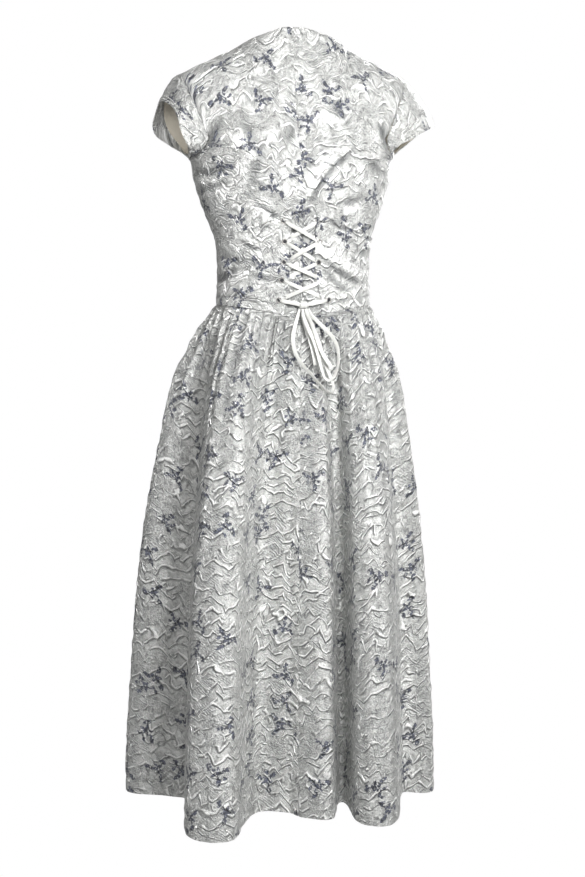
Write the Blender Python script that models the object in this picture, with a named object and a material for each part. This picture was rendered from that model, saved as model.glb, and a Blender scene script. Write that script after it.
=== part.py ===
"""A-line midi dress with a laced back, held in its worn, hollow form.

The front faces -Y, the back +Y, and +Z is up. The origin is midway between the two shoulder seams,
where the dress is held. Lengths below are in millimetres, and heights in the tables are counted up
from the level hem. A fabric wall is CLOTH thick, and pieces stay SEAM_GAP apart where they are sewn.
"""

import math

import bpy
import bmesh
from mathutils import Vector

MM = 0.001
HELD_HEIGHT = 1113.0
CLOTH = 1.5
SEAM_GAP = 0.3
ROUNDNESS = 2.25

# Bodice.
NECK_HALF_WIDTH = 80.0
SHOULDER_HALF_WIDTH = 171.0
NAPE_HEIGHT = 1159.0
NAPE_DEPTH = 66.0
FRONT_NECK_HEIGHT = 1040.0
FRONT_NECK_DEPTH = 98.0
SIDE_NECK_HEIGHT = 1137.0
SHOULDER_TIP_HEIGHT = 1094.0
UNDERARM_HEIGHT = 970.0
CHEST_HEIGHT = 1000.0
ARMHOLE_HALF_DEPTH = 66.0
BUST_HEIGHT = 930.0
BUST_CENTRE = 70.0
BUST_FULLNESS = 9.0
WAIST_SEAM_HEIGHT = 756.0
WAIST_SEAM_DIP = 21.0

# Laced waist panels on the back.
CORSELET_SIDE_HEIGHT = 856.0
CORSELET_PEAK = 46.0
CORSELET_EDGE_SHARE = 0.148
EYELET_RADIUS = 3.4
EYELET_RIM = 0.9
LACE_RADIUS = 1.5
LACE_CLEARANCE = 2.7
KNOT_SIZE = (17.0, 10.0, 10.0)
KNOT_HEIGHT = 757.0
KNOT_STANDOFF = 6.4

# Zip tape behind the centre back seam.
ZIP_SHARE = 0.6
ZIP_THICKNESS = 1.0

# Linings of the cap sleeves.
LINING_THICKNESS = 1.0
LINING_ROWS = (0.14, 0.4, 0.66)
LINING_FROM_UNDERARM = 3

# Torso rings: height, half width, depth to the back, depth to the front, lean of the centre to +X.
TORSO = (
    (730.0, 117.0, 88.0, 88.0, 0.0),
    (765.0, 115.5, 88.0, 88.0, 0.0),
    (800.0, 114.0, 88.0, 89.0, 0.0),
    (835.0, 115.0, 88.0, 93.0, 0.0),
    (860.0, 119.5, 89.0, 99.0, 0.0),
    (885.0, 129.0, 91.0, 106.0, 0.5),
    (910.0, 138.0, 94.0, 113.0, 1.0),
    (940.0, 147.0, 96.0, 118.0, 1.5),
    (970.0, 152.0, 97.0, 117.0, 2.0),
    (1000.0, 170.0, 96.0, 110.0, 2.5),
    (1160.0, 171.0, 90.0, 100.0, 3.5),
)

# The laced edges of the corselet: height, distance from the centre back.
LACED_EDGE = ((735.0, 28.0), (764.0, 25.0), (793.0, 20.5), (819.0, 17.4), (850.0, 17.0), (905.0, 17.0))

# How far the centre back seam stands off the middle of the back: height, offset to +X.
CENTRE_BACK = ((860.0, 0.0), (890.0, -3.0), (925.0, -4.0), (1000.0, 5.5), (1160.0, 8.5))

# Columns of a half bodice, as shares of its half width. One lies at the corner of the neck.
NECK_SHARE = NECK_HALF_WIDTH / SHOULDER_HALF_WIDTH
HALF_COLUMNS = (0.0, CORSELET_EDGE_SHARE, 0.26, 0.36, NECK_SHARE, 0.56, 0.65, 0.74, 0.82, 0.89, 0.95, 0.987, 1.0)

# Rows of the bodice: shares of the corselet's height, of the height up to the underarm, heights
# round the foot of the armhole, and shares of the height above the chest line.
CORSELET_ROWS = (0.0, 0.2, 0.4, 0.6, 0.8, 1.0)
SIDE_ROWS = (0.34, 0.68, 1.0)
ARMHOLE_ROWS = (971.2, 974.0, 981.0, 990.0, 1000.0)
SHOULDER_ROWS = (0.2, 0.4, 0.6, 0.76, 0.9, 1.0)

# Hem of a cap sleeve: place round it from the underarm over the back, x, y, height.
SLEEVE_HEM = (
    (0.0, 160.0, 0.0, 965.0),
    (0.07, 159.0, 30.0, 970.0),
    (0.14, 156.0, 56.0, 982.0),
    (0.2, 163.0, 67.0, 994.0),
    (0.27, 180.0, 69.0, 1004.0),
    (0.35, 200.0, 62.0, 1016.0),
    (0.42, 202.0, 32.0, 1047.0),
    (0.5, 200.0, -2.0, 1062.0),
    (0.58, 204.0, -36.0, 1046.0),
    (0.65, 203.0, -66.0, 1016.0),
    (0.73, 182.0, -73.0, 1003.0),
    (0.8, 164.0, -69.0, 993.0),
    (0.86, 156.0, -56.0, 982.0),
    (0.93, 159.0, -30.0, 970.0),
)
SLEEVE_ROWS = (0.0, 0.34, 0.68, 1.0)
SLEEVE_FULLNESS = 4.0

# Crests and valleys of the skirt: angle on the waist from the centre back towards +X, x and y at the hem.
SKIRT_FOLDS = (
    (-90.0, -220.0, 8.0),
    (-85.0, -216.0, 41.0),
    (-80.0, -198.0, 50.0),
    (-74.0, -166.0, 43.0),
    (-56.0, -135.0, 150.0),
    (-47.0, -112.0, 187.0),
    (-38.0, -85.0, 185.0),
    (-30.0, -68.0, 160.0),
    (-22.0, -68.0, 113.0),
    (-16.0, -67.0, 75.0),
    (-12.5, -57.0, 77.0),
    (-7.5, -33.0, 145.0),
    (-2.0, 7.0, 131.0),
    (5.0, 26.0, 105.0),
    (14.0, 68.0, 94.0),
    (21.0, 94.0, 134.0),
    (31.0, 121.0, 207.0),
    (37.0, 152.0, 216.0),
    (43.0, 176.0, 199.0),
    (49.0, 187.0, 170.0),
    (62.0, 178.0, 95.0),
    (73.0, 166.0, 18.0),
    (80.0, 202.0, -8.0),
    (87.0, 247.0, -28.0),
    (93.0, 256.0, -54.0),
    (100.0, 232.0, -93.0),
    (110.0, 176.0, -108.0),
    (121.0, 172.0, -168.0),
    (132.0, 133.0, -203.0),
    (146.0, 86.0, -155.0),
    (157.0, 58.0, -196.0),
    (168.0, 14.0, -206.0),
    (181.0, -26.0, -152.0),
    (193.0, -62.0, -192.0),
    (205.0, -106.0, -190.0),
    (219.0, -126.0, -128.0),
    (232.0, -176.0, -132.0),
    (245.0, -214.0, -84.0),
    (256.0, -188.0, -38.0),
    (264.0, -211.0, -18.0),
)

# How far the skirt has spread from the waist to the hem: height, share of the way.
SKIRT_FLARE = (
    (0.0, 1.0),
    (64.0, 0.99),
    (128.0, 0.965),
    (191.0, 0.93),
    (254.0, 0.9),
    (317.0, 0.863),
    (379.0, 0.813),
    (442.0, 0.75),
    (503.0, 0.667),
    (565.0, 0.575),
    (626.0, 0.475),
    (657.0, 0.405),
    (687.0, 0.29),
    (717.0, 0.185),
    (726.0, 0.14),
    (740.0, 0.065),
    (756.0, 0.0),
)

# Depth of the gathers: distance below the waist seam, half height of the wave.
GATHER_DEPTH = (
    (0.0, 0.0),
    (9.0, 1.7),
    (20.0, 3.0),
    (45.0, 3.9),
    (85.0, 3.9),
    (130.0, 3.2),
    (190.0, 1.8),
    (270.0, 0.7),
    (350.0, 0.0),
)
SKIRT_ROWS = (0.0, 0.012, 0.03, 0.06, 0.1, 0.15, 0.21, 0.28, 0.36, 0.45, 0.55, 0.66, 0.78, 0.89, 1.0)
COLUMNS_PER_GATHER = 4

# Skirt panels: name, first angle, last angle, number of gathers.
SKIRT_PANELS = (
    ("skirt_back_right", -90.0, 0.0, 9),
    ("skirt_back_left", 0.0, 90.0, 9),
    ("skirt_front", 90.0, 270.0, 12),
)

# Eyelets of the corselet: height, x of the left one, x of the right one.
EYELETS = (
    (879.0, 29.0, -22.0),
    (849.0, 27.0, -24.0),
    (819.0, 28.0, -23.0),
    (793.0, 31.0, -30.0),
    (764.0, 35.0, -38.0),
)

# Lace between its eyelets, as shares of its run and the height of its middle above the bodice.
LACE_OVER = ((0.0, 6.0), (0.3, 6.0), (0.52, 6.1), (0.64, 6.2), (0.76, 5.6), (0.88, 3.8), (1.0, 2.4))
LACE_UNDER = ((0.0, 6.0), (0.16, 6.0), (0.34, 4.6), (0.5, 2.5), (0.64, 2.2), (0.8, 2.2), (1.0, 2.2))
LACE_BAR = ((0.0, 6.0), (0.3, 6.0), (0.6, 6.2), (0.8, 6.3), (1.0, 6.4))

# Free lace below the knot: x, height, distance of its middle from the skirt.
LACE_RUNS = {
    "bow_loop_left": (
        (6.0, 751.5, 4.0), (9.0, 740.0, 4.0), (14.0, 724.0, 3.5), (17.0, 706.0, 3.0), (14.0, 688.0, 3.0),
        (5.0, 671.0, 3.0), (-7.0, 657.0, 3.0), (-19.0, 643.0, 3.5), (-28.0, 633.0, 4.5), (-36.0, 630.0, 6.0),
        (-39.0, 638.0, 7.3), (-35.0, 652.0, 8.0), (-29.0, 670.0, 8.0), (-23.0, 690.0, 8.0), (-17.0, 710.0, 8.0),
        (-10.0, 728.0, 7.0), (-4.0, 742.0, 5.0), (-2.0, 751.5, 4.0),
    ),
    "bow_loop_right": (
        (-6.0, 751.5, 8.5), (-11.0, 743.0, 9.0), (-20.0, 733.0, 8.5), (-31.0, 722.0, 6.0), (-42.0, 709.0, 4.0),
        (-48.0, 695.0, 4.5), (-48.0, 680.0, 7.0), (-45.0, 667.0, 10.0), (-40.0, 655.0, 12.0), (-32.0, 649.0, 12.5),
        (-25.0, 653.0, 12.5), (-21.0, 667.0, 12.5), (-17.0, 685.0, 12.3), (-13.0, 702.0, 12.0),
        (-5.0, 722.0, 11.5), (1.0, 740.0, 9.5), (2.0, 751.5, 8.5),
    ),
    "lace_tail_left": (
        (2.0, 751.5, 4.0), (1.0, 740.0, 3.6), (-3.0, 722.0, 3.0), (-8.0, 704.0, 3.0), (-12.0, 686.0, 3.0),
        (-14.0, 670.0, 3.0),
    ),
    "lace_tail_right": (
        (-2.3, 751.5, 8.5), (-4.0, 744.0, 11.5), (-9.0, 733.0, 14.0), (-14.0, 715.0, 15.5), (-20.0, 695.0, 16.3),
        (-27.0, 680.0, 16.5), (-35.0, 668.0, 16.5),
    ),
}
LACE_STEP = 11.0
LACE_REACH = 20.0

# Colour, roughness and metallic value of each material.
FINISHES = {
    "cloque": ((0.62, 0.63, 0.61), 0.42, 0.0),
    "lining": ((0.55, 0.46, 0.30), 0.6, 0.0),
    "lace": ((0.85, 0.84, 0.80), 0.45, 0.0),
    "zip": ((0.78, 0.78, 0.76), 0.6, 0.0),
    "eyelet": ((0.10, 0.09, 0.08), 0.4, 1.0),
}


def clear_scene():
    for item in list(bpy.data.objects):
        bpy.data.objects.remove(item, do_unlink=True)


def finish(name):
    """The named material, made once."""
    material = bpy.data.materials.get(name)
    if material:
        return material
    colour, roughness, metallic = FINISHES[name]
    material = bpy.data.materials.new(name)
    material.use_nodes = True
    shader = material.node_tree.nodes["Principled BSDF"]
    shader.inputs["Base Color"].default_value = (*colour, 1.0)
    shader.inputs["Roughness"].default_value = roughness
    shader.inputs["Metallic"].default_value = metallic
    return material


def interpolate(rows, key):
    """The columns of a table at a key, on a smooth curve through its rows."""
    if key <= rows[0][0]:
        return rows[0][1:]
    if key >= rows[-1][0]:
        return rows[-1][1:]
    last = len(rows) - 1
    low = max(index for index in range(last) if rows[index][0] <= key)

    def slopes(index):
        before, after = rows[max(index - 1, 0)], rows[min(index + 1, last)]
        return [(b - a) / (after[0] - before[0]) for a, b in zip(before[1:], after[1:])]

    start, end = rows[low], rows[low + 1]
    span = end[0] - start[0]
    t = (key - start[0]) / span
    weights = (2 * t**3 - 3 * t**2 + 1, t**3 - 2 * t**2 + t, 3 * t**2 - 2 * t**3, t**3 - t**2)
    columns = zip(start[1:], slopes(low), end[1:], slopes(low + 1))
    return [
        weights[0] * a + weights[1] * span * slope_a + weights[2] * b + weights[3] * span * slope_b
        for a, slope_a, b, slope_b in columns
    ]


def interpolate_round(rows, key, period):
    """The same on a table whose first row follows its last."""
    wrapped = [(row[0] - period, *row[1:]) for row in rows[-3:]]
    wrapped += list(rows)
    wrapped += [(row[0] + period, *row[1:]) for row in rows[:3]]
    start = rows[0][0]
    return interpolate(wrapped, start + (key - start) % period)


def oval_depth(depth, across, half_width):
    """Depth of a rounded-box oval at a distance across it."""
    share = min(abs(across) / half_width, 1.0)
    return depth * (1.0 - share**ROUNDNESS) ** (1.0 / ROUNDNESS)


def waist_seam_height(share):
    """The waist seam dips towards the centre back; share runs from there to the side."""
    return WAIST_SEAM_HEIGHT - WAIST_SEAM_DIP * (1.0 - share) ** 1.6


def corselet_top_height(share):
    return CORSELET_SIDE_HEIGHT + CORSELET_PEAK * (1.0 - share) ** 1.4


def lower_bodice(is_back, height, share):
    """Across and depth of the bodice below the chest line, in rows that end at the side or the armhole."""
    half_width, back, front, _ = interpolate(TORSO, height)
    depth = back if is_back else front
    if height <= UNDERARM_HEIGHT:
        reach = half_width
    else:
        rise = (CHEST_HEIGHT - height) / (CHEST_HEIGHT - UNDERARM_HEIGHT)
        armhole = ARMHOLE_HALF_DEPTH * math.sqrt(1.0 - rise**2)
        reach = half_width * (1.0 - (armhole / depth) ** ROUNDNESS) ** (1.0 / ROUNDNESS)
    across = reach * share
    return across, oval_depth(depth, across, half_width)


def neck_and_shoulder(is_back, share):
    """Across, depth and height of the upper edge: the neck, then the shoulder seam."""
    across = SHOULDER_HALF_WIDTH * share
    if share < NECK_SHARE:
        turn = across / NECK_HALF_WIDTH
        if is_back:
            rise = NAPE_HEIGHT - SIDE_NECK_HEIGHT
            height = SIDE_NECK_HEIGHT + rise * math.cos(0.5 * math.pi * turn)
            return across, NAPE_DEPTH * math.sqrt(1.0 - turn**2), height
        drop = SIDE_NECK_HEIGHT - FRONT_NECK_HEIGHT
        height = SIDE_NECK_HEIGHT - drop * math.sqrt(1.0 - turn**2)
        return across, FRONT_NECK_DEPTH * (1.0 - turn**2) ** 0.6, height
    along = (share - NECK_SHARE) / (1.0 - NECK_SHARE)
    return across, 0.0, SIDE_NECK_HEIGHT + (SHOULDER_TIP_HEIGHT - SIDE_NECK_HEIGHT) * along


def upper_bodice(is_back, rise, share):
    """The bodice above the chest line rounds over to the shoulder seam and stands at the neck."""
    low_across, low_depth = lower_bodice(is_back, CHEST_HEIGHT, share)
    top_across, top_depth, top_height = neck_and_shoulder(is_back, share)
    over = (1.0 - min(rise, 1.0) ** 2.2) ** (1.0 / 2.2)
    stand = 1.0 - rise
    turned = min(max((share - 0.1) / 0.4, 0.0), 1.0)
    weight = stand + (over - stand) * turned
    across = low_across + (top_across - low_across) * rise
    depth = top_depth + (low_depth - top_depth) * weight
    return across, depth, CHEST_HEIGHT + (top_height - CHEST_HEIGHT) * rise


def bust(across, height):
    """The fullness that the darts of the front give."""
    beside = (across - BUST_CENTRE) / 40.0
    above = (height - BUST_HEIGHT) / 45.0
    return BUST_FULLNESS * math.exp(-(beside**2) - above**2)


def bodice_point(is_back, side, share, row):
    """A point of the bodice: row is a pair of the zone's name and a place in it."""
    zone, place = row
    if zone == "shoulder":
        across, depth, height = upper_bodice(is_back, place, share)
    else:
        seam, top = waist_seam_height(share), corselet_top_height(share)
        if not is_back:
            seam, top = WAIST_SEAM_HEIGHT, CORSELET_SIDE_HEIGHT
        if zone == "corselet":
            height = seam + (top - seam) * place
        elif zone == "side":
            height = top + (UNDERARM_HEIGHT - top) * place
        else:
            height = place
        across, depth = lower_bodice(is_back, height, share)
    lean = interpolate(TORSO, height)[3]
    if is_back:
        lean += interpolate(CENTRE_BACK, height)[0] * max(1.0 - share / NECK_SHARE, 0.0) ** 1.5
        return Vector((lean + side * across, depth, height))
    return Vector((lean + side * across, -depth - bust(across, height), height))


def bodice_rows():
    rows = [("corselet", place) for place in CORSELET_ROWS]
    rows += [("side", place) for place in SIDE_ROWS]
    rows += [("armhole", place) for place in ARMHOLE_ROWS]
    rows += [("shoulder", place) for place in SHOULDER_ROWS]
    return rows


def skirt_base(angle, height):
    """The skirt's folds without its gathers, between the waist oval and the hem."""
    turn = math.radians(angle)
    seam_share = abs(math.sin(turn)) ** (2.0 / ROUNDNESS) if math.cos(turn) > 0 else 1.0
    seam = waist_seam_height(seam_share)
    half_width, back, front, lean = interpolate(TORSO, seam)
    depth = back if math.cos(turn) > 0 else front
    waist_x = lean + math.copysign(abs(math.sin(turn)) ** (2.0 / ROUNDNESS), math.sin(turn)) * half_width
    waist_y = math.copysign(abs(math.cos(turn)) ** (2.0 / ROUNDNESS), math.cos(turn)) * depth
    hem_x, hem_y = interpolate_round(SKIRT_FOLDS, angle, 360.0)
    stretched = height * WAIST_SEAM_HEIGHT / seam
    spread = interpolate(SKIRT_FLARE, stretched)[0]
    x = waist_x + (hem_x - waist_x) * spread
    y = waist_y + (hem_y - waist_y) * spread
    return Vector((x, y, height)), seam


def skirt_point(angle, wave, drop_share):
    """A point of the skirt; wave is the gather's place between its valley, -1, and its crest, 1."""
    _, seam = skirt_base(angle, 0.0)
    height = seam * (1.0 - drop_share)
    point, _ = skirt_base(angle, height)
    outward = Vector((point.x, point.y, 0.0)).normalized()
    return point + outward * wave * interpolate(GATHER_DEPTH, seam - height)[0]


def skirt_columns(first, last, gathers):
    """Angle and wave of each column of a panel, with the gathers unevenly wide and deep."""
    count = gathers * COLUMNS_PER_GATHER
    columns = []
    for index in range(count + 1):
        share = index / count
        from_edge = min(1.0, share * gathers, (1.0 - share) * gathers)
        uneven = 0.24 / gathers * math.sin(1.9 * share * gathers) * from_edge
        angle = first + (last - first) * (share + uneven)
        strength = 0.7 + 0.3 * math.sin(2.4 * (index // COLUMNS_PER_GATHER) + 1.0)
        wave = strength * math.sin(2.0 * math.pi * index / COLUMNS_PER_GATHER)
        columns.append((angle, wave))
    return columns


def grid_normals(grid, ring):
    """Outward or inward unit normals of a grid of points, one way over the whole grid."""
    rows, columns = len(grid), len(grid[0])
    normals = []
    for r in range(rows):
        line = []
        for c in range(columns):
            up, down = grid[min(r + 1, rows - 1)][c], grid[max(r - 1, 0)][c]
            if ring:
                right, left = grid[r][(c + 1) % columns], grid[r][c - 1]
            else:
                right, left = grid[r][min(c + 1, columns - 1)], grid[r][max(c - 1, 0)]
            line.append((right - left).cross(up - down).normalized())
        normals.append(line)
    return normals


def place_key(point):
    return tuple(round(value, 1) for value in point)


class Panel:
    """A piece of cloth: a grid of points on its outer side and the directions that face out of it."""

    def __init__(self, name, grid, ring=False, facing=1.0):
        self.name = name
        self.grid = grid
        self.ring = ring
        self.meets_waist = not ring
        self.normals = [[facing * n for n in line] for line in grid_normals(grid, ring)]

    def edge_places(self):
        rows, columns = len(self.grid), len(self.grid[0])
        for r in range(rows):
            for c in range(columns):
                at_side = not self.ring and c in (0, columns - 1)
                if r in (0, rows - 1) or at_side:
                    yield r, c


def share_edge_normals(panels):
    """Where panels meet, they get one direction, so that their walls meet in a mitre.

    The waist seam is the first row of a bodice or skirt panel, and its direction is level.
    """
    totals = {}
    for panel in panels:
        for r, c in panel.edge_places():
            key = place_key(panel.grid[r][c])
            totals[key] = totals.get(key, Vector((0.0, 0.0, 0.0))) + panel.normals[r][c]
    for panel in panels:
        for r, c in panel.edge_places():
            facing = totals[place_key(panel.grid[r][c])]
            if r == 0 and panel.meets_waist:
                facing.z = 0.0
            panel.normals[r][c] = facing.normalized()


def drawn_back(grid, ring):
    """The grid with its edges drawn back by half a seam gap, square to each edge.

    A ring, such as a sleeve, gives the whole gap where it starts, at the armhole.
    """
    rows, columns = len(grid), len(grid[0])
    half = 0.5 * SEAM_GAP
    start = SEAM_GAP if ring else half
    moved = [[point.copy() for point in line] for line in grid]
    for c in range(columns):
        moved[0][c] += start * (grid[1][c] - grid[0][c]).normalized()
        moved[-1][c] += half * (grid[-2][c] - grid[-1][c]).normalized()
    if ring:
        return moved
    for edge, beside in ((0, 1), (-1, -2)):
        for r in range(rows):
            along = (grid[min(r + 1, rows - 1)][edge] - grid[max(r - 1, 0)][edge]).normalized()
            inward = grid[r][beside] - grid[r][edge]
            moved[r][edge] += half * (inward - inward.dot(along) * along).normalized()
    return moved


def offset_grid(grid, normals, distance):
    return [[p + n * distance for p, n in zip(line, facing)] for line, facing in zip(grid, normals)]


def add_object(name, mesh, finish_name):
    mesh.materials.append(finish(finish_name))
    item = bpy.data.objects.new(name, mesh)
    bpy.context.scene.collection.objects.link(item)
    return item


def to_metres(point):
    return Vector((point.x, point.y, point.z - HELD_HEIGHT)) * MM


def build_wall(name, outer, inner, ring, finish_name):
    """A closed wall between two grids of points."""
    shape = bmesh.new()
    rows, columns = len(outer), len(outer[0])
    sheets = [[[shape.verts.new(to_metres(p)) for p in line] for line in grid] for grid in (outer, inner)]
    spans = columns if ring else columns - 1
    for r in range(rows - 1):
        for c in range(spans):
            d = (c + 1) % columns
            for sheet in sheets:
                shape.faces.new((sheet[r][c], sheet[r][d], sheet[r + 1][d], sheet[r + 1][c]))
    front, back = sheets
    for r in (0, rows - 1):
        for c in range(spans):
            d = (c + 1) % columns
            shape.faces.new((front[r][c], front[r][d], back[r][d], back[r][c]))
    if not ring:
        for c in (0, columns - 1):
            for r in range(rows - 1):
                shape.faces.new((front[r][c], front[r + 1][c], back[r + 1][c], back[r][c]))
    bmesh.ops.recalc_face_normals(shape, faces=shape.faces)
    mesh = bpy.data.meshes.new(name)
    shape.to_mesh(mesh)
    shape.free()
    mesh.shade_smooth()
    mesh.set_sharp_from_angle(angle=math.radians(60.0))
    return add_object(name, mesh, finish_name)


def build_cloth(panel, finish_name):
    outer = drawn_back(panel.grid, panel.ring)
    inner = offset_grid(outer, panel.normals, -CLOTH)
    return build_wall(panel.name, outer, inner, panel.ring, finish_name)


def make_bodice():
    """The two backs and the front, each a grid from the waist seam to the neck and shoulders."""
    rows = bodice_rows()
    backs = {}
    for name, side in (("bodice_back_left", 1.0), ("bodice_back_right", -1.0)):
        grid = [[bodice_point(True, side, share, row) for share in HALF_COLUMNS] for row in rows]
        backs[side] = Panel(name, grid, facing=-side)
    front_columns = [(-1.0, share) for share in reversed(HALF_COLUMNS)]
    front_columns += [(1.0, share) for share in HALF_COLUMNS[1:]]
    grid = [[bodice_point(False, side, share, row) for side, share in front_columns] for row in rows]
    return backs, Panel("bodice_front", grid)


def make_sleeve(name, side, back, front):
    """A cap sleeve, from the armhole that the back and the front leave to its hem."""
    first = len(CORSELET_ROWS) + len(SIDE_ROWS) - 1
    front_column = 0 if side < 0 else -1
    armhole = [line[-1] for line in back.grid[first:]]
    armhole += [line[front_column] for line in reversed(front.grid[first + 1 : -1])]
    count = len(armhole)
    lengths = [0.0]
    for index in range(count):
        lengths.append(lengths[-1] + (armhole[(index + 1) % count] - armhole[index]).length)
    lean = interpolate(TORSO, UNDERARM_HEIGHT)[3]
    hem = []
    for index in range(count):
        x, y, height = interpolate_round(SLEEVE_HEM, lengths[index] / lengths[-1], 1.0)
        hem.append(Vector((lean + side * x, y, height)))
    middle = sum(armhole, Vector()) / count
    grid = []
    for along in SLEEVE_ROWS:
        line = []
        for start, end in zip(armhole, hem):
            out = (start - middle).normalized() * SLEEVE_FULLNESS * math.sin(math.pi * along)
            room = min(1.0, (end - start).length / 30.0)
            line.append(start.lerp(end, along) + out * room)
        grid.append(line)
    return Panel(name, grid, ring=True, facing=side)


def build_sleeve_lining(name, sleeve):
    """The lining inside a cap sleeve, over the shoulder and short of its hem and of the underarm."""
    outer, directions = [], []
    first, last = LINING_FROM_UNDERARM, len(sleeve.grid[0]) - LINING_FROM_UNDERARM + 1
    for along in LINING_ROWS:
        place = along * (len(SLEEVE_ROWS) - 1)
        low = int(place)
        pairs = list(zip(sleeve.grid[low], sleeve.grid[low + 1]))[first:last]
        outer.append([a.lerp(b, place - low) for a, b in pairs])
        facing = list(zip(sleeve.normals[low], sleeve.normals[low + 1]))[first:last]
        directions.append([a.lerp(b, place - low).normalized() for a, b in facing])
    near = offset_grid(outer, directions, -CLOTH - 2.0 * SEAM_GAP)
    far = offset_grid(outer, directions, -CLOTH - 2.0 * SEAM_GAP - LINING_THICKNESS)
    return build_wall(name, near, far, False, "lining")


def build_corselet(name, back):
    """A laced waist panel on a back, made from the back's own points moved out."""
    grid, normals = [], []
    for r in range(len(CORSELET_ROWS)):
        line, facing = list(back.grid[r][1:]), back.normals[r][1:]
        edge = interpolate(LACED_EDGE, line[0].z)[0]
        shift = max((edge - abs(line[0].x)) / abs(line[1].x - line[0].x), 0.0)
        line[0] = line[0].lerp(line[1], shift)
        line[1] = line[1].lerp(line[2], 0.5 * shift)
        grid.append(line)
        normals.append(facing)
    trimmed = drawn_back(grid, False)
    inner = offset_grid(trimmed, normals, SEAM_GAP)
    outer = offset_grid(trimmed, normals, SEAM_GAP + CLOTH)
    return build_wall(name, outer, inner, False, "cloque")


def build_zip(backs):
    """The zip tape behind the centre back seam, from just above the waist to just under the neck edge."""
    left, right = backs[1.0], backs[-1.0]
    lines, directions = [], []
    for r in range(len(left.grid) - 1):
        seam = left.grid[r][0]
        lines.append([seam.lerp(right.grid[r][1], ZIP_SHARE), seam, seam.lerp(left.grid[r][1], ZIP_SHARE)])
        directions.append([left.normals[r][0]] * 3)
    lines[0] = [a.lerp(b, 0.12) for a, b in zip(lines[0], lines[1])]
    near = offset_grid(lines, directions, -CLOTH - 3.0 * SEAM_GAP)
    far = offset_grid(lines, directions, -CLOTH - 3.0 * SEAM_GAP - ZIP_THICKNESS)
    return build_wall("back_zip", near, far, False, "zip")


def back_surface(x, height):
    """The point of the bodice's back at x, and the direction that faces out of it."""
    def depth_at(across, level):
        half_width, back, _, lean = interpolate(TORSO, level)
        return oval_depth(back, across - lean, half_width)

    step = 1.0
    depth = depth_at(x, height)
    along = Vector((2.0 * step, depth_at(x + step, height) - depth_at(x - step, height), 0.0))
    rise = Vector((0.0, depth_at(x, height + step) - depth_at(x, height - step), 2.0 * step))
    return Vector((x, depth, height)), rise.cross(along).normalized()


def build_eyelet(name, x, height):
    """A metal ring set on the corselet."""
    point, out = back_surface(x, height)
    centre = to_metres(point + out * (2.0 * SEAM_GAP + CLOTH + EYELET_RIM))
    bpy.ops.mesh.primitive_torus_add(
        location=centre,
        rotation=out.to_track_quat("Z", "Y").to_euler(),
        major_segments=10,
        minor_segments=4,
        major_radius=EYELET_RADIUS * MM,
        minor_radius=EYELET_RIM * MM,
    )
    ring = bpy.context.object
    ring.name = name
    ring.data.name = name
    ring.data.shade_smooth()
    ring.data.materials.append(finish("eyelet"))
    return ring


def build_tube(name, points):
    """A lace as a round tube through points."""
    curve = bpy.data.curves.new(name, "CURVE")
    curve.dimensions = "3D"
    curve.bevel_depth = LACE_RADIUS * MM
    curve.bevel_resolution = 2
    curve.use_fill_caps = True
    spline = curve.splines.new("POLY")
    spline.points.add(len(points) - 1)
    for knot, point in zip(spline.points, points):
        knot.co = (*to_metres(point), 1.0)
    return add_object(name, curve, "lace")


def lace_between(start, goal, stop_x, profile):
    """Points of a lace on its way from one place of the back to another, as far as stop_x."""
    reach = (stop_x - start[0]) / (goal[0] - start[0])
    points = []
    for share, stand in profile:
        x = start[0] + (goal[0] - start[0]) * share * reach
        height = start[1] + (goal[1] - start[1]) * share * reach
        point, out = back_surface(x, height)
        points.append(point + out * stand)
    return points


def build_lacing():
    """The crossings over the gap, and the two runs from the lowest eyelets to the knot."""
    for number in range(1, len(EYELETS)):
        height, left, right = EYELETS[number - 1]
        next_height, next_left, next_right = EYELETS[number]
        stop_x = interpolate(LACED_EDGE, next_height)[0] - LACE_CLEARANCE
        left_over = number % 2 == 1
        to_right = lace_between(
            (left, height), (next_right, next_height), -stop_x, LACE_OVER if left_over else LACE_UNDER
        )
        to_left = lace_between(
            (right, height), (next_left, next_height), stop_x, LACE_UNDER if left_over else LACE_OVER
        )
        build_tube(f"lace_cross_left_{number}", to_right)
        build_tube(f"lace_cross_right_{number}", to_left)
    height, left, right = EYELETS[-1]
    beside_knot = 0.5 * KNOT_SIZE[0] + 2.0 * SEAM_GAP
    build_tube("lace_end_left", lace_between((left, height), (0.0, KNOT_HEIGHT), beside_knot, LACE_BAR))
    build_tube("lace_end_right", lace_between((right, height), (0.0, KNOT_HEIGHT), -beside_knot, LACE_BAR))


def build_knot():
    """The knot as a small cushion of wound lace."""
    point, out = back_surface(0.0, KNOT_HEIGHT)
    bpy.ops.mesh.primitive_cube_add(size=1.0, location=to_metres(point + out * KNOT_STANDOFF))
    knot = bpy.context.object
    knot.name = "bow_knot"
    knot.data.name = "bow_knot"
    knot.scale = [length * MM for length in KNOT_SIZE]
    bpy.ops.object.transform_apply(location=False, rotation=False, scale=True)
    edges = knot.modifiers.new("rounded", "BEVEL")
    edges.width = 2.4 * MM
    edges.segments = 2
    knot.data.materials.append(finish("lace"))
    return knot


def skirt_front_of(x, height):
    """How far back the skirt stands near x, over the folds beside it."""
    reach = []
    for step in range(-60, 41):
        point, seam = skirt_base(float(step), min(height, 735.0))
        if abs(point.x - x) <= LACE_REACH:
            reach.append(point.y + interpolate(GATHER_DEPTH, seam - point.z)[0])
    return max(reach)


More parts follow.
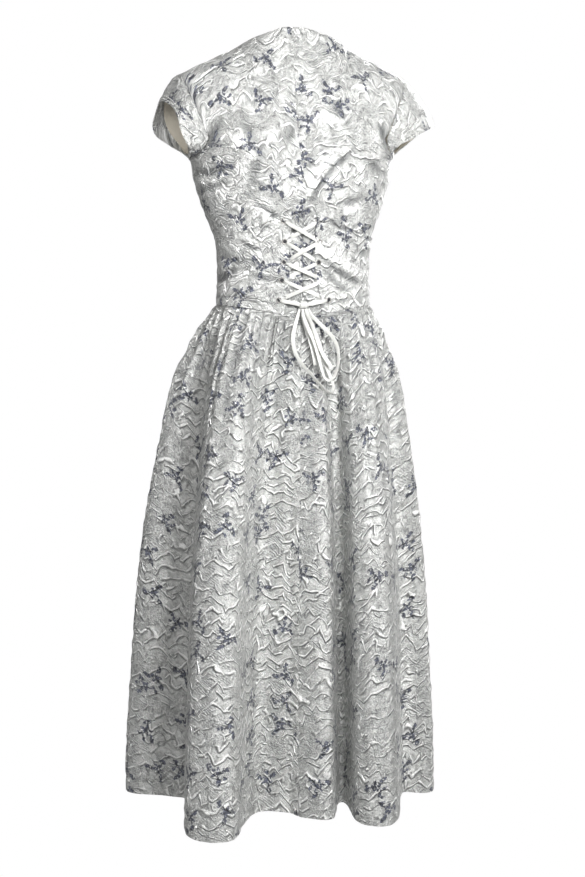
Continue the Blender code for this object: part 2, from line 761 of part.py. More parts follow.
def smooth_run(points, step):
    """Points a step apart on a smooth curve through the given ones."""
    count = len(points)
    run = []
    for index in range(count - 1):
        a = points[max(index - 1, 0)]
        b, c = points[index], points[index + 1]
        d = points[min(index + 2, count - 1)]
        pieces = max(1, round((c - b).length / step))
        for piece in range(pieces):
            t = piece / pieces
            run.append(0.5 * (2 * b + (c - a) * t + (2 * a - 5 * b + 4 * c - d) * t**2 + (3 * b - a - 3 * c + d) * t**3))
    return run + [points[-1]]


def build_free_lace():
    """The bow's loops and tails, which hang over the skirt."""
    for name, route in LACE_RUNS.items():
        points = [Vector((x, skirt_front_of(x, height) + stand, height)) for x, height, stand in route]
        build_tube(name, smooth_run(points, LACE_STEP))


def make_skirt():
    panels = []
    for name, first, last, gathers in SKIRT_PANELS:
        columns = skirt_columns(first, last, gathers)
        grid = [[skirt_point(angle, wave, drop) for angle, wave in columns] for drop in SKIRT_ROWS]
        panels.append(Panel(name, grid))
    return panels


def main():
    clear_scene()
    backs, front = make_bodice()
    sleeves = [
        make_sleeve("sleeve_left", 1.0, backs[1.0], front),
        make_sleeve("sleeve_right", -1.0, backs[-1.0], front),
    ]
    skirt = make_skirt()
    panels = [*backs.values(), front, *sleeves, *skirt]
    share_edge_normals(panels)
    for panel in panels:
        build_cloth(panel, "cloque")
    build_sleeve_lining("sleeve_lining_left", sleeves[0])
    build_sleeve_lining("sleeve_lining_right", sleeves[1])
    build_corselet("corselet_back_left", backs[1.0])
    build_corselet("corselet_back_right", backs[-1.0])
    build_zip(backs)
    for number, (height, left, right) in enumerate(EYELETS, start=1):
        build_eyelet(f"eyelet_left_{number}", left, height)
        build_eyelet(f"eyelet_right_{number}", right, height)
    build_lacing()
    build_knot()
    build_free_lace()


main()
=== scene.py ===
"""A-line midi dress with a laced back: the cloth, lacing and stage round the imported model.

The front faces -Y, the back +Y and +Z is up. Tables and helpers count in millimetres, with heights
up from the level hem; to_metres brings them into the frame, whose origin is at the shoulder line.
"""

import math

import bpy
import numpy as np
from bpy.props import FloatProperty, FloatVectorProperty, PointerProperty
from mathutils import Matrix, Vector


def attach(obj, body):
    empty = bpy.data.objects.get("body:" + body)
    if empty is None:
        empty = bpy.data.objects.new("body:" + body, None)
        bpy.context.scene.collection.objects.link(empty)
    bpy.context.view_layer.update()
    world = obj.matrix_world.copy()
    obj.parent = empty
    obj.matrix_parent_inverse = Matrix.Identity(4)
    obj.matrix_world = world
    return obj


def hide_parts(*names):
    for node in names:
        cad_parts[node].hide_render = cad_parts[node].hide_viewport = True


bl_info = {
    "name": "Laced A-Line Dress",
    "version": (1, 0, 0),
    "blender": (4, 5, 0),
    "location": "3D Viewport > Sidebar > Dress",
    "description": "Builds the cloth, the lacing and the studio of a laced a-line midi dress",
    "category": "Object",
}

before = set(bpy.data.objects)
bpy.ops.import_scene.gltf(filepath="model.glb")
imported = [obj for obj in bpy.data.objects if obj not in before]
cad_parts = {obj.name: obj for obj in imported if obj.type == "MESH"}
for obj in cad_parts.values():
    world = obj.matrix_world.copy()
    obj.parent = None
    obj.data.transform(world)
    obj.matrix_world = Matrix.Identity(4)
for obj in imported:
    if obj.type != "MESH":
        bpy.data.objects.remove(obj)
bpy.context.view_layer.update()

MM = 0.001
HELD_HEIGHT = 1113.0
CLOTH = 1.5
SEAM_GAP = 0.3
ROUNDNESS = 2.25
NECK_HALF_WIDTH = 80.0
SHOULDER_HALF_WIDTH = 171.0
NAPE_HEIGHT = 1159.0
NAPE_DEPTH = 66.0
FRONT_NECK_HEIGHT = 1040.0
FRONT_NECK_DEPTH = 98.0
SIDE_NECK_HEIGHT = 1137.0
SHOULDER_TIP_HEIGHT = 1094.0
UNDERARM_HEIGHT = 970.0
CHEST_HEIGHT = 1000.0
ARMHOLE_HALF_DEPTH = 66.0
BUST_HEIGHT = 930.0
BUST_CENTRE = 70.0
BUST_FULLNESS = 9.0
WAIST_SEAM_HEIGHT = 756.0
WAIST_SEAM_DIP = 21.0
CORSELET_SIDE_HEIGHT = 856.0
CORSELET_PEAK = 46.0
EYELET_RADIUS = 3.4
EYELET_WIRE = 0.8
EYELET_STANDOFF = 2.4
EYELET_FLATNESS = 0.75
# A dark disc of painted shade inside each eyelet: its radius, thickness and distance out of the cloth.
HOLE_RADIUS = 2.9
HOLE_THICKNESS = 0.5
HOLE_STANDOFF = 2.1
KNOT_SIZE = (17.0, 8.0, 8.6)
KNOT_HEIGHT = 757.0
KNOT_STANDOFF = 6.4
SLEEVE_FULLNESS = 4.0
LINING_THICKNESS = 0.7
LINING_UNDERARM_END = 981.0
ZIP_TAPE_THICKNESS = 0.6
ZIP_TAPE_DEPTH = 3.6
# Lengths up the bodice of the zones that its rows are counted in, and across its half.
CORSELET_ZONE = 125.0
SIDE_ZONE = 90.0
ARMHOLE_ZONE = 34.0
SHOULDER_ZONE = 160.0
HALF_BODICE_WIDTH = 185.0
CORSELET_WIDTH = 160.0
# Torso rings: height, half width, depth to the back, depth to the front, lean of the centre to +X.
TORSO = (
    (730.0, 117.0, 88.0, 88.0, 0.0),
    (765.0, 115.5, 88.0, 88.0, 0.0),
    (800.0, 114.0, 88.0, 89.0, 0.0),
    (835.0, 115.0, 88.0, 93.0, 0.0),
    (860.0, 119.5, 89.0, 99.0, 0.0),
    (885.0, 129.0, 91.0, 106.0, 0.5),
    (910.0, 138.0, 94.0, 113.0, 1.0),
    (940.0, 147.0, 96.0, 118.0, 1.5),
    (970.0, 152.0, 97.0, 117.0, 2.0),
    (1000.0, 170.0, 96.0, 110.0, 2.5),
    (1160.0, 171.0, 90.0, 100.0, 3.5),
)
LACED_EDGE = ((735.0, 28.0), (764.0, 25.0), (793.0, 20.5), (819.0, 17.4), (850.0, 17.0), (905.0, 17.0))
CENTRE_BACK = ((860.0, 0.0), (890.0, -3.0), (925.0, -4.0), (1000.0, 5.5), (1160.0, 8.5))
NECK_SHARE = NECK_HALF_WIDTH / SHOULDER_HALF_WIDTH
# Hems of the cap sleeves: place round one from the underarm over the back, x away from the middle, y,
# height. The two differ as they hang.
SLEEVE_HEMS = {
    1.0: (
        (0.0, 154.0, 0.0, 970.0),
        (0.07, 153.8, 30.0, 974.3),
        (0.14, 158.7, 54.0, 981.3),
        (0.2, 165.5, 64.0, 991.9),
        (0.27, 172.9, 66.0, 1007.3),
        (0.35, 177.0, 58.0, 1027.9),
        (0.42, 183.8, 34.0, 1045.7),
        (0.5, 194.9, -2.0, 1056.2),
        (0.58, 198.4, -36.0, 1049.2),
        (0.65, 201.9, -66.0, 1028.1),
        (0.73, 196.1, -73.0, 1010.8),
        (0.8, 178.3, -69.0, 998.0),
        (0.86, 164.5, -56.0, 987.5),
        (0.93, 153.7, -30.0, 977.6),
    ),
    -1.0: (
        (0.0, 157.0, 0.0, 976.0),
        (0.07, 151.2, 30.0, 980.4),
        (0.14, 147.9, 52.0, 986.1),
        (0.2, 152.5, 64.0, 991.7),
        (0.27, 167.7, 68.0, 999.7),
        (0.35, 190.5, 62.0, 1012.1),
        (0.42, 211.9, 30.0, 1023.2),
        (0.5, 215.8, -4.0, 1039.7),
        (0.58, 216.9, -36.0, 1036.5),
        (0.65, 213.1, -60.0, 1020.1),
        (0.73, 199.7, -66.0, 1006.5),
        (0.8, 187.6, -62.0, 996.8),
        (0.86, 175.6, -52.0, 988.3),
        (0.93, 164.8, -30.0, 980.6),
    ),
}
# Crests and valleys of the skirt: angle on the waist from the centre back towards +X, x and y at hem.
SKIRT_FOLDS = (
    (-90.0, -220.0, 8.0),
    (-85.0, -216.0, 41.0),
    (-80.0, -198.0, 50.0),
    (-74.0, -166.0, 43.0),
    (-56.0, -135.0, 150.0),
    (-47.0, -112.0, 187.0),
    (-38.0, -85.0, 185.0),
    (-30.0, -68.0, 160.0),
    (-22.0, -68.0, 113.0),
    (-16.0, -67.0, 75.0),
    (-12.5, -57.0, 77.0),
    (-7.5, -33.0, 145.0),
    (-2.0, 7.0, 131.0),
    (5.0, 26.0, 105.0),
    (14.0, 68.0, 94.0),
    (21.0, 94.0, 134.0),
    (31.0, 121.0, 207.0),
    (37.0, 152.0, 216.0),
    (43.0, 176.0, 199.0),
    (49.0, 187.0, 170.0),
    (62.0, 178.0, 95.0),
    (73.0, 166.0, 18.0),
    (80.0, 202.0, -8.0),
    (87.0, 247.0, -28.0),
    (93.0, 256.0, -54.0),
    (100.0, 232.0, -93.0),
    (110.0, 176.0, -108.0),
    (121.0, 172.0, -168.0),
    (132.0, 133.0, -203.0),
    (146.0, 86.0, -155.0),
    (157.0, 58.0, -196.0),
    (168.0, 14.0, -206.0),
    (181.0, -26.0, -152.0),
    (193.0, -62.0, -192.0),
    (205.0, -106.0, -190.0),
    (219.0, -126.0, -128.0),
    (232.0, -176.0, -132.0),
    (245.0, -214.0, -84.0),
    (256.0, -188.0, -38.0),
    (264.0, -211.0, -18.0),
)
# How far the skirt has spread from the waist to the hem: height, share of the way.
SKIRT_FLARE = (
    (0.0, 1.0),
    (64.0, 0.99),
    (128.0, 0.965),
    (191.0, 0.93),
    (254.0, 0.9),
    (317.0, 0.863),
    (379.0, 0.813),
    (442.0, 0.75),
    (503.0, 0.667),
    (565.0, 0.575),
    (626.0, 0.475),
    (657.0, 0.405),
    (687.0, 0.29),
    (717.0, 0.185),
    (726.0, 0.14),
    (740.0, 0.065),
    (756.0, 0.0),
)
# Depth of the gathers: distance below the waist seam, half height of the wave.
GATHER_DEPTH = (
    (0.0, 0.0),
    (9.0, 1.7),
    (20.0, 3.0),
    (45.0, 3.9),
    (85.0, 3.9),
    (130.0, 3.2),
    (190.0, 1.8),
    (270.0, 0.7),
    (350.0, 0.0),
)
# Skirt panels: name, first angle, last angle, number of gathers, width, coarseness of its mesh.
SKIRT_PANELS = (
    ("skirt_back_right", -90.0, 0.0, 9, 590.0, 1.05),
    ("skirt_back_left", 0.0, 90.0, 9, 640.0, 1.05),
    ("skirt_front", 90.0, 270.0, 12, 1000.0, 1.35),
)
# Where each panel lies on the pattern of the cloth, in metres, so that no two look alike.
PATTERN_PLACES = {
    "bodice_back_left": (3.0, 2.0),
    "bodice_back_right": (5.0, 2.31),
    "bodice_front": (7.5, 2.1),
    "corselet_back_left": (9.0, 3.0),
    "corselet_back_right": (11.0, 3.4),
    "sleeve_left": (13.0, 4.0),
    "sleeve_right": (15.0, 4.3),
    "skirt_back_right": (17.0, 6.0),
    "skirt_back_left": (21.0, 6.6),
    "skirt_front": (25.0, 7.2),
}
# Sewn lines: distance from the edge, half width, depth.
CENTRE_BACK_SEAM = (0.0, 2.6, 1.3)
BODICE_SEAM = (0.0, 3.0, 0.5)
CORSELET_WAIST_LINE = (13.0, 2.4, 0.9)
CORSELET_HEM_LINE = (5.0, 1.6, 0.45)
CORSELET_SIDE_SEAM = (0.0, 3.0, 1.0)
ARMHOLE_SEAM = (0.0, 2.5, 0.8)
SLEEVE_HEM_LINES = ((6.5, 1.3, 0.8), (12.5, 1.3, 0.6))
SKIRT_WAIST_SEAM = (0.0, 3.0, 0.9)
SKIRT_HEM_LINE = (22.0, 2.0, 0.4)
SKIRT_SEAM = (0.0, 2.6, 0.9)
# Eyelets of the corselet: height, x of the left one, x of the right one.
EYELETS = (
    (879.0, 29.0, -22.0),
    (849.0, 27.0, -24.0),
    (819.0, 28.0, -23.0),
    (793.0, 31.0, -30.0),
    (764.0, 35.0, -38.0),
)
# The free laces from the knot on, the loops back to it: x, height, distance out of the skirt.
LACE_RUNS = {
    "bow_loop_left": (
        (6.0, 751.5, 4.0), (9.0, 740.0, 4.0), (14.0, 724.0, 3.5), (17.0, 706.0, 3.0), (14.0, 688.0, 3.0),
        (5.0, 671.0, 3.0), (-7.0, 657.0, 3.0), (-19.0, 643.0, 3.5), (-28.0, 633.0, 4.5),
        (-36.0, 630.0, 6.0), (-39.0, 638.0, 7.3), (-35.0, 652.0, 8.0), (-29.0, 670.0, 8.0),
        (-23.0, 690.0, 8.0), (-17.0, 710.0, 8.0), (-10.0, 728.0, 7.0), (-4.0, 742.0, 5.0),
        (-2.0, 751.5, 4.0),
    ),
    "bow_loop_right": (
        (-6.0, 751.5, 8.5), (-11.0, 743.0, 9.0), (-20.0, 733.0, 8.5), (-31.0, 722.0, 6.0),
        (-42.0, 709.0, 4.0), (-48.0, 695.0, 4.5), (-48.0, 680.0, 7.0), (-45.0, 667.0, 10.0),
        (-40.0, 655.0, 12.0), (-32.0, 649.0, 12.5), (-25.0, 653.0, 12.5), (-21.0, 667.0, 12.5),
        (-17.0, 685.0, 12.3), (-13.0, 702.0, 12.0), (-5.0, 722.0, 11.5), (1.0, 740.0, 9.5),
        (2.0, 751.5, 8.5),
    ),
    "lace_tail_left": (
        (2.0, 751.5, 4.0), (1.0, 740.0, 3.6), (-3.0, 722.0, 3.0), (-8.0, 704.0, 3.0), (-12.0, 686.0, 3.0),
        (-14.0, 670.0, 3.0),
    ),
    "lace_tail_right": (
        (-2.3, 751.5, 8.5), (-4.0, 744.0, 11.5), (-9.0, 733.0, 14.0), (-14.0, 715.0, 15.5),
        (-20.0, 695.0, 16.3), (-27.0, 680.0, 16.5), (-35.0, 668.0, 16.5),
    ),
}
# The way the bow faces: +Y, turned 10 degrees towards +X.
BOW_FACING = (0.1736, 0.9848, 0.0)
# The laces over the bodice, from an eyelet to the far edge or the knot: share of the way, height above it.
OVER = (
    (0.05, 1.9), (0.09, 3.2), (0.16, 4.4), (0.3, 5.3), (0.52, 5.6), (0.68, 5.2), (0.82, 3.6), (0.93, 1.8),
    (1.0, 0.9),
)
UNDER = (
    (0.05, 1.9), (0.09, 3.1), (0.16, 4.2), (0.26, 4.2), (0.38, 3.4), (0.5, 2.5), (0.68, 1.7), (0.86, 1.1),
    (1.0, 0.9),
)
TO_KNOT = ((0.06, 1.9), (0.13, 3.4), (0.22, 4.8), (0.45, 5.9), (0.75, 6.4), (1.0, 6.6))
PAST_EDGE = 4.5
# Ribbon wound round the knot: name, place across, lean, width.
KNOT_WRAPS = (("bow_knot_wrap_1", -1.2, 0.12, 6.2), ("bow_knot_wrap_2", 2.6, -0.35, 5.0))
KNOT_WRAP_RADIUS = 4.9
# A ribbon's cross section, blunt at its edges: shares of its width and of its thickness.
RIBBON_SECTION = (
    (-0.5, -0.3), (-0.42, -0.5), (0.42, -0.5), (0.5, -0.3), (0.5, 0.3), (0.42, 0.5), (-0.42, 0.5),
    (-0.5, 0.3),
)
# A stitch: corners of its bead, as shares of its length, width and width, and its faces.
STITCH_CORNERS = (
    (-0.5, 0, 0), (-0.3, 0.5, 0.3), (-0.3, -0.5, 0.3), (0.3, 0.5, 0.3), (0.3, -0.5, 0.3), (0.5, 0, 0),
    (-0.3, 0.5, -0.3), (-0.3, -0.5, -0.3), (0.3, 0.5, -0.3), (0.3, -0.5, -0.3),
)
STITCH_FACES = (
    (0, 1, 2), (1, 3, 4, 2), (3, 5, 4), (0, 6, 1), (6, 8, 3, 1), (8, 5, 3), (0, 2, 7), (2, 4, 9, 7),
    (4, 5, 9), (0, 7, 6), (7, 9, 8, 6), (9, 5, 8),
)
STITCH_GAP = 1.2
STITCH_WIDTH = 0.95
STITCH_ROWS = (("inner", 0.85), ("outer", 0.93))
TOOTH_FACES = ((0, 1, 3, 2), (4, 6, 7, 5), (0, 4, 5, 1), (2, 3, 7, 6), (0, 2, 6, 4), (1, 5, 7, 3))

# Creases of the panels, from one end to the other: x, height, x, height, half width, depth.
BACK_CREASES = (
    (67.0, 905.0, 29.0, 880.0, 5.0, 2.2),
    (29.0, 880.0, 2.0, 853.0, 5.0, 1.6),
    (59.0, 981.0, 76.0, 923.0, 9.0, 1.5),
    (147.0, 948.0, 108.0, 957.0, 7.0, 2.2),
    (140.0, 925.0, 104.0, 944.0, 7.0, 1.6),
    (-74.0, 981.0, -8.0, 905.0, 5.0, 2.2),
    (-60.0, 990.0, -2.0, 922.0, 8.0, -1.2),
    (-53.0, 905.0, -88.0, 912.0, 6.0, 1.6),
    (-128.0, 950.0, -96.0, 968.0, 7.0, 1.5),
    (33.0, 981.0, 7.0, 1038.0, 8.0, 1.0),
    (-38.0, 1052.0, -72.0, 1020.0, 9.0, 1.0),
    (90.0, 1024.0, 66.0, 985.0, 9.0, 1.2),
    (120.0, 1020.0, 134.0, 988.0, 7.0, 1.8),
    (-118.0, 1022.0, -131.0, 990.0, 7.0, 1.8),
)
CORSELET_CREASES = (
    (88.0, 857.0, 59.0, 843.0, 4.0, -1.3),
    (86.0, 851.0, 60.0, 838.0, 4.0, 1.3),
    (121.0, 789.0, 95.0, 809.0, 6.0, 1.8),
    (95.0, 809.0, 70.0, 816.0, 5.0, 1.2),
    (71.0, 801.0, 30.0, 793.0, 5.0, 1.4),
    (108.0, 826.0, 78.0, 822.0, 6.0, 1.2),
    (-24.0, 841.0, -89.0, 801.0, 8.0, -1.6),
    (-30.0, 830.0, -84.0, 792.0, 6.0, 1.7),
    (-37.0, 882.0, -84.0, 863.0, 5.0, 1.6),
    (-34.0, 870.0, -92.0, 845.0, 5.0, 1.2),
    (-30.0, 812.0, -67.0, 777.0, 6.0, 1.3),
    (-104.0, 832.0, -80.0, 838.0, 6.0, 1.2),
    (38.0, 870.0, 66.0, 868.0, 5.0, 1.0),
)
FRONT_CREASES = (
    (70.0, 900.0, 96.0, 850.0, 8.0, 1.6),
    (-72.0, 902.0, -98.0, 848.0, 8.0, 1.5),
    (40.0, 868.0, 88.0, 800.0, 7.0, 1.3),
    (-36.0, 860.0, -90.0, 806.0, 7.0, 1.4),
    (128.0, 985.0, 100.0, 950.0, 7.0, 1.8),
    (-128.0, 988.0, -98.0, 946.0, 7.0, 1.7),
    (30.0, 806.0, 96.0, 784.0, 6.0, 1.2),
    (-26.0, 812.0, -92.0, 778.0, 6.0, 1.3),
)

# The jacquard: how far its pattern is pulled out of true, in metres, and the strength of its ridges and of
# their painted highlight and shade.
CLOQUES = {"cloque_bodice": (0.022, 0.72), "cloque_skirt": (0.008, 1.0)}
# Two sets of chevrons. In metres: width of a turn, line spacing and swing, then a seed. In spacings: least
# and added half width of a ridge; place and half width of the ditch beside it. Then its area's soft edge.
CHEVRONS = (
    ((0.035, 0.0172, 0.0120, 0.0), (0.07, 0.20), (0.23, 0.12), (0.40, 0.47)),
    ((0.027, 0.0235, -0.0125, 7.0), (0.05, 0.13), (0.17, 0.09), (0.46, 0.53)),
)
HATCH_SPACING = 0.0042
CLOTH_BUMP = 0.0042
# Plain weaves: colour, roughness, radians of the weave in a metre, its height in metres, sheen.
WEAVES = {
    "ribbon": ("ribbon", 0.42, 4200.0, 0.00012, 0.25),
    "lining_cloth": ("lining", 0.6, 5200.0, 0.0001, 0.1),
    "thread": ("thread", 0.5, 9000.0, 0.0001, 0.1),
    "zip_tape": ("zip_tape", 0.6, 4800.0, 0.0001, 0.1),
}
# Lights: name, metres towards the camera, to its right and up, size, power, spread in degrees.
LIGHTS = (
    ("key", 1.65, 0.62, 0.3, 0.55, 18.3, 100.0),
    ("fill", 1.5, -1.3, 0.25, 1.0, 10.5, 180.0),
    ("side", 0.0, 1.9, -0.2, 0.9, 7.0, 180.0),
    ("middle", 2.1, 0.0, 0.1, 0.4, 8.0, 180.0),
    ("far", -2.0, 0.8, 0.3, 1.0, 34.0, 180.0),
)
LIGHTS_AIM = -0.46
WORLD_GLOW = 0.14
WORLD_GLOW_AT_SIDES = 0.22
FLOOR_RADIUS = 9.0
FLOOR_HEIGHT = -1.413

# Soft waves of the cloth between its folds: how many in 1.8 m along the row and down it, start, share.
PUCKERS = (
    (31.0, 57.0, 0.4, 1.0),
    (-23.0, 71.0, 1.9, 0.9),
    (47.0, 39.0, 2.7, 0.7),
    (-53.0, 49.0, 4.4, 0.6),
    (13.0, 91.0, 5.2, 0.7),
    (67.0, 23.0, 0.9, 0.4),
    (-9.0, 27.0, 3.3, 0.8),
)


# Tables and curves.


def curve(rows, keys):
    """The columns of a table at an array of keys, on a smooth curve through its rows."""
    table = np.array(rows, float)
    at, values = table[:, 0], table[:, 1:]
    last = len(at) - 1
    order = np.arange(last + 1)
    before, after = np.maximum(order - 1, 0), np.minimum(order + 1, last)
    slopes = (values[after] - values[before]) / (at[after] - at[before])[:, None]
    keys = np.clip(np.asarray(keys, float), at[0], at[-1])
    low = np.clip(np.searchsorted(at, keys, side="right") - 1, 0, last - 1)
    span = at[low + 1] - at[low]
    t = ((keys - at[low]) / span)[..., None]
    span = span[..., None]
    result = (2 * t**3 - 3 * t**2 + 1) * values[low] + (t**3 - 2 * t**2 + t) * span * slopes[low]
    return result + (3 * t**2 - 2 * t**3) * values[low + 1] + (t**3 - t**2) * span * slopes[low + 1]


def curve_round(rows, keys, period):
    """The same on a table whose first row follows its last."""
    wrapped = [(row[0] - period, *row[1:]) for row in rows[-3:]]
    wrapped += list(rows)
    wrapped += [(row[0] + period, *row[1:]) for row in rows[:3]]
    start = rows[0][0]
    return curve(wrapped, start + (np.asarray(keys, float) - start) % period)


def smooth_step(low, high, values):
    """0 below low, 1 above high, smooth between."""
    t = np.clip((values - low) / (high - low), 0.0, 1.0)
    return t * t * (3.0 - 2.0 * t)


def to_metres(points):
    """Points in millimetres above the hem as points in the frame."""
    return (np.asarray(points, float) - np.array([0.0, 0.0, HELD_HEIGHT])) * MM


# The dress's base surfaces, without their relief. Each is an array of rows by columns by x, y, height.


def waist_seam_height(share):
    """The waist seam dips towards the centre back; share runs from there to the side."""
    return WAIST_SEAM_HEIGHT - WAIST_SEAM_DIP * (1.0 - share) ** 1.6


def corselet_top_height(share):
    """The laced panels rise to a peak at the centre back."""
    return CORSELET_SIDE_HEIGHT + CORSELET_PEAK * (1.0 - share) ** 1.4


def oval_depth(depth, across, half_width):
    """Depth of a rounded-box oval at a distance across it."""
    share = np.minimum(np.abs(across) / half_width, 1.0)
    return depth * (1.0 - share**ROUNDNESS) ** (1.0 / ROUNDNESS)


def lower_bodice(is_back, height, share):
    """Across and depth of the bodice below the chest line; its rows end at the side or the armhole."""
    half_width, back, front, _ = np.moveaxis(curve(TORSO, height), -1, 0)
    depth = back if is_back else front
    rise = (CHEST_HEIGHT - height) / (CHEST_HEIGHT - UNDERARM_HEIGHT)
    armhole = ARMHOLE_HALF_DEPTH * np.sqrt(np.clip(1.0 - rise**2, 0.0, 1.0))
    armhole = np.where(height <= UNDERARM_HEIGHT, 0.0, armhole)
    reach = half_width * (1.0 - (armhole / depth) ** ROUNDNESS) ** (1.0 / ROUNDNESS)
    across = reach * share
    return across, oval_depth(depth, across, half_width)


def neck_and_shoulder(is_back, share):
    """Across, depth and height of the upper edge: the neck, then the shoulder seam."""
    across = SHOULDER_HALF_WIDTH * share
    turn = np.minimum(across / NECK_HALF_WIDTH, 1.0)
    arch = np.sqrt(1.0 - turn**2)
    if is_back:
        rise = NAPE_HEIGHT - SIDE_NECK_HEIGHT
        neck_height = SIDE_NECK_HEIGHT + rise * np.cos(0.5 * math.pi * turn)
        neck_depth = NAPE_DEPTH * arch
    else:
        neck_height = SIDE_NECK_HEIGHT - (SIDE_NECK_HEIGHT - FRONT_NECK_HEIGHT) * arch
        neck_depth = FRONT_NECK_DEPTH * (1.0 - turn**2) ** 0.6
    along = np.maximum(share - NECK_SHARE, 0.0) / (1.0 - NECK_SHARE)
    shoulder = SIDE_NECK_HEIGHT + (SHOULDER_TIP_HEIGHT - SIDE_NECK_HEIGHT) * along
    on_neck = share < NECK_SHARE
    return across, np.where(on_neck, neck_depth, 0.0), np.where(on_neck, neck_height, shoulder)


def upper_bodice(is_back, rise, share):
    """The bodice above the chest line rounds over to the shoulder seam and stands at the neck."""
    low_across, low_depth = lower_bodice(is_back, np.full_like(share, CHEST_HEIGHT), share)
    top_across, top_depth, top_height = neck_and_shoulder(is_back, share)
    over = (1.0 - min(rise, 1.0) ** 2.2) ** (1.0 / 2.2)
    stand = 1.0 - rise
    weight = stand + (over - stand) * np.clip((share - 0.1) / 0.4, 0.0, 1.0)
    across = low_across + (top_across - low_across) * rise
    depth = top_depth + (low_depth - top_depth) * weight
    return across, depth, CHEST_HEIGHT + (top_height - CHEST_HEIGHT) * rise


def bust(across, height):
    """The fullness that the darts of the front give."""
    beside = (across - BUST_CENTRE) / 40.0
    above = (height - BUST_HEIGHT) / 45.0
    return BUST_FULLNESS * np.exp(-(beside**2) - above**2)


def bodice_row(is_back, side, share, row):
    """A row of the bodice: its zone's name and the place in it."""
    zone, place = row
    if zone == "shoulder":
        across, depth, height = upper_bodice(is_back, place, share)
    else:
        seam, top = waist_seam_height(share), corselet_top_height(share)
        if not is_back:
            seam = np.full_like(share, WAIST_SEAM_HEIGHT)
            top = np.full_like(share, CORSELET_SIDE_HEIGHT)
        if zone == "corselet":
            height = seam + (top - seam) * place
        elif zone == "side":
            height = top + (UNDERARM_HEIGHT - top) * place
        else:
            height = np.full_like(share, place)
        across, depth = lower_bodice(is_back, height, share)
    lean = curve(TORSO, height)[..., 3]
    if is_back:
        away = np.maximum(1.0 - share / NECK_SHARE, 0.0) ** 1.5
        lean = lean + curve(CENTRE_BACK, height)[..., 0] * away
        return np.stack([lean + side * across, depth, height], axis=-1)
    return np.stack([lean + side * across, -depth - bust(across, height), height], axis=-1)


def even_shares(length, cell):
    """Shares from 0 to 1, about a cell apart on a length."""
    return np.linspace(0.0, 1.0, round(length / cell) + 1)


def bodice_zones(cell):
    """The rows of the bodice about a cell apart: corselet, side, armhole and shoulder."""
    corselet = [("corselet", t) for t in even_shares(CORSELET_ZONE, cell)]
    side = [("side", t) for t in even_shares(SIDE_ZONE, cell)[1:]]
    turn = np.linspace(0.0, 0.5 * math.pi, round(ARMHOLE_ZONE / cell) + 3)[1:]
    drop = CHEST_HEIGHT - UNDERARM_HEIGHT
    armhole = [("armhole", CHEST_HEIGHT - drop * math.cos(t)) for t in turn]
    shoulder = [("shoulder", t) for t in even_shares(SHOULDER_ZONE, cell)[1:]]
    return corselet, side, armhole, shoulder


def half_shares(cell):
    """Columns of a half bodice, closer together towards the side, where it turns."""
    even = even_shares(HALF_BODICE_WIDTH, cell)
    shares = even + 0.06 * np.sin(math.pi * even) * even
    nearest = int(np.argmin(np.abs(shares - NECK_SHARE)))
    shares[nearest] = NECK_SHARE
    return shares


def skirt_base(angles, heights):
    """The skirt's folds without its gathers, between the waist oval and the hem, and the seam's height."""
    turn = np.radians(angles)
    sine, cosine = np.sin(turn), np.cos(turn)
    share = np.abs(sine) ** (2.0 / ROUNDNESS)
    seam = np.where(cosine > 0, waist_seam_height(share), WAIST_SEAM_HEIGHT)
    half_width, back, front, lean = np.moveaxis(curve(TORSO, seam), -1, 0)
    depth = np.where(cosine > 0, back, front)
    waist_x = lean + np.sign(sine) * share * half_width
    waist_y = np.sign(cosine) * np.abs(cosine) ** (2.0 / ROUNDNESS) * depth
    hem_x, hem_y = np.moveaxis(curve_round(SKIRT_FOLDS, angles, 360.0), -1, 0)
    spread = curve(SKIRT_FLARE, heights * WAIST_SEAM_HEIGHT / seam)[..., 0]
    x = waist_x + (hem_x - waist_x) * spread
    y = waist_y + (hem_y - waist_y) * spread
    return np.stack([x, y, heights], axis=-1), seam


def skirt_grid(first, last, gathers, cell, width):
    """A skirt panel's points, and the shade painted into each, deepest in the valleys of its gathers.

    Its gathers are unevenly wide and deep, with small ones between them.
    """
    share = even_shares(width, cell)
    from_edge = np.minimum(1.0, np.minimum(share * gathers, (1.0 - share) * gathers))
    uneven = 0.24 / gathers * np.sin(1.9 * share * gathers) * from_edge
    angle = first + (last - first) * (share + uneven)
    gather = np.minimum(np.floor(share * gathers + 1e-9), gathers - 1)
    strength = 0.7 + 0.3 * np.sin(2.4 * gather + 1.0)
    wave = strength * np.sin(2.0 * math.pi * share * gathers)
    small = np.sin(2.0 * math.pi * share * gathers * 2.0 + 1.3 * np.sin(share * 37.0))
    small = small * np.minimum(from_edge * 2, 1)
    even = even_shares(WAIST_SEAM_HEIGHT, cell)
    drop = even * (0.55 + 0.45 * even)
    angles = np.broadcast_to(angle, (len(drop), len(angle)))
    _, seam = skirt_base(angle, np.zeros_like(angle))
    heights = seam[None, :] * (1.0 - drop[:, None])
    points, _ = skirt_base(angles, heights)
    away = points.copy()
    away[..., 2] = 0.0
    away /= np.linalg.norm(away, axis=-1, keepdims=True)
    below = seam[None, :] - heights
    depth = curve(GATHER_DEPTH, below)[..., 0]
    fine = 2.8 * smooth_step(0.0, 8.0, below) * (1.0 - smooth_step(25.0, 105.0, below))
    # Painted shade in the valleys of the gathers, kept at part strength down to the hem, and in the small
    # gathers close to the waist.
    valley = 0.5 - 0.5 * wave
    fading = smooth_step(60.0, 210.0, below)
    fold = valley**2 * (0.42 - 0.10 * fading) + 0.4 * np.maximum(-small, 0.0) * (1.0 - fading)
    return points + away * (wave * depth + small * fine)[..., None], fold * smooth_step(2.0, 12.0, below)


# From points to a piece of cloth.


def grid_normals(grid):
    """Unit normals of a grid of points, one way over the whole grid."""
    along = np.gradient(grid, axis=1)
    down = np.gradient(grid, axis=0)
    normals = np.cross(along, down)
    return normals / np.maximum(np.linalg.norm(normals, axis=-1, keepdims=True), 1e-9)


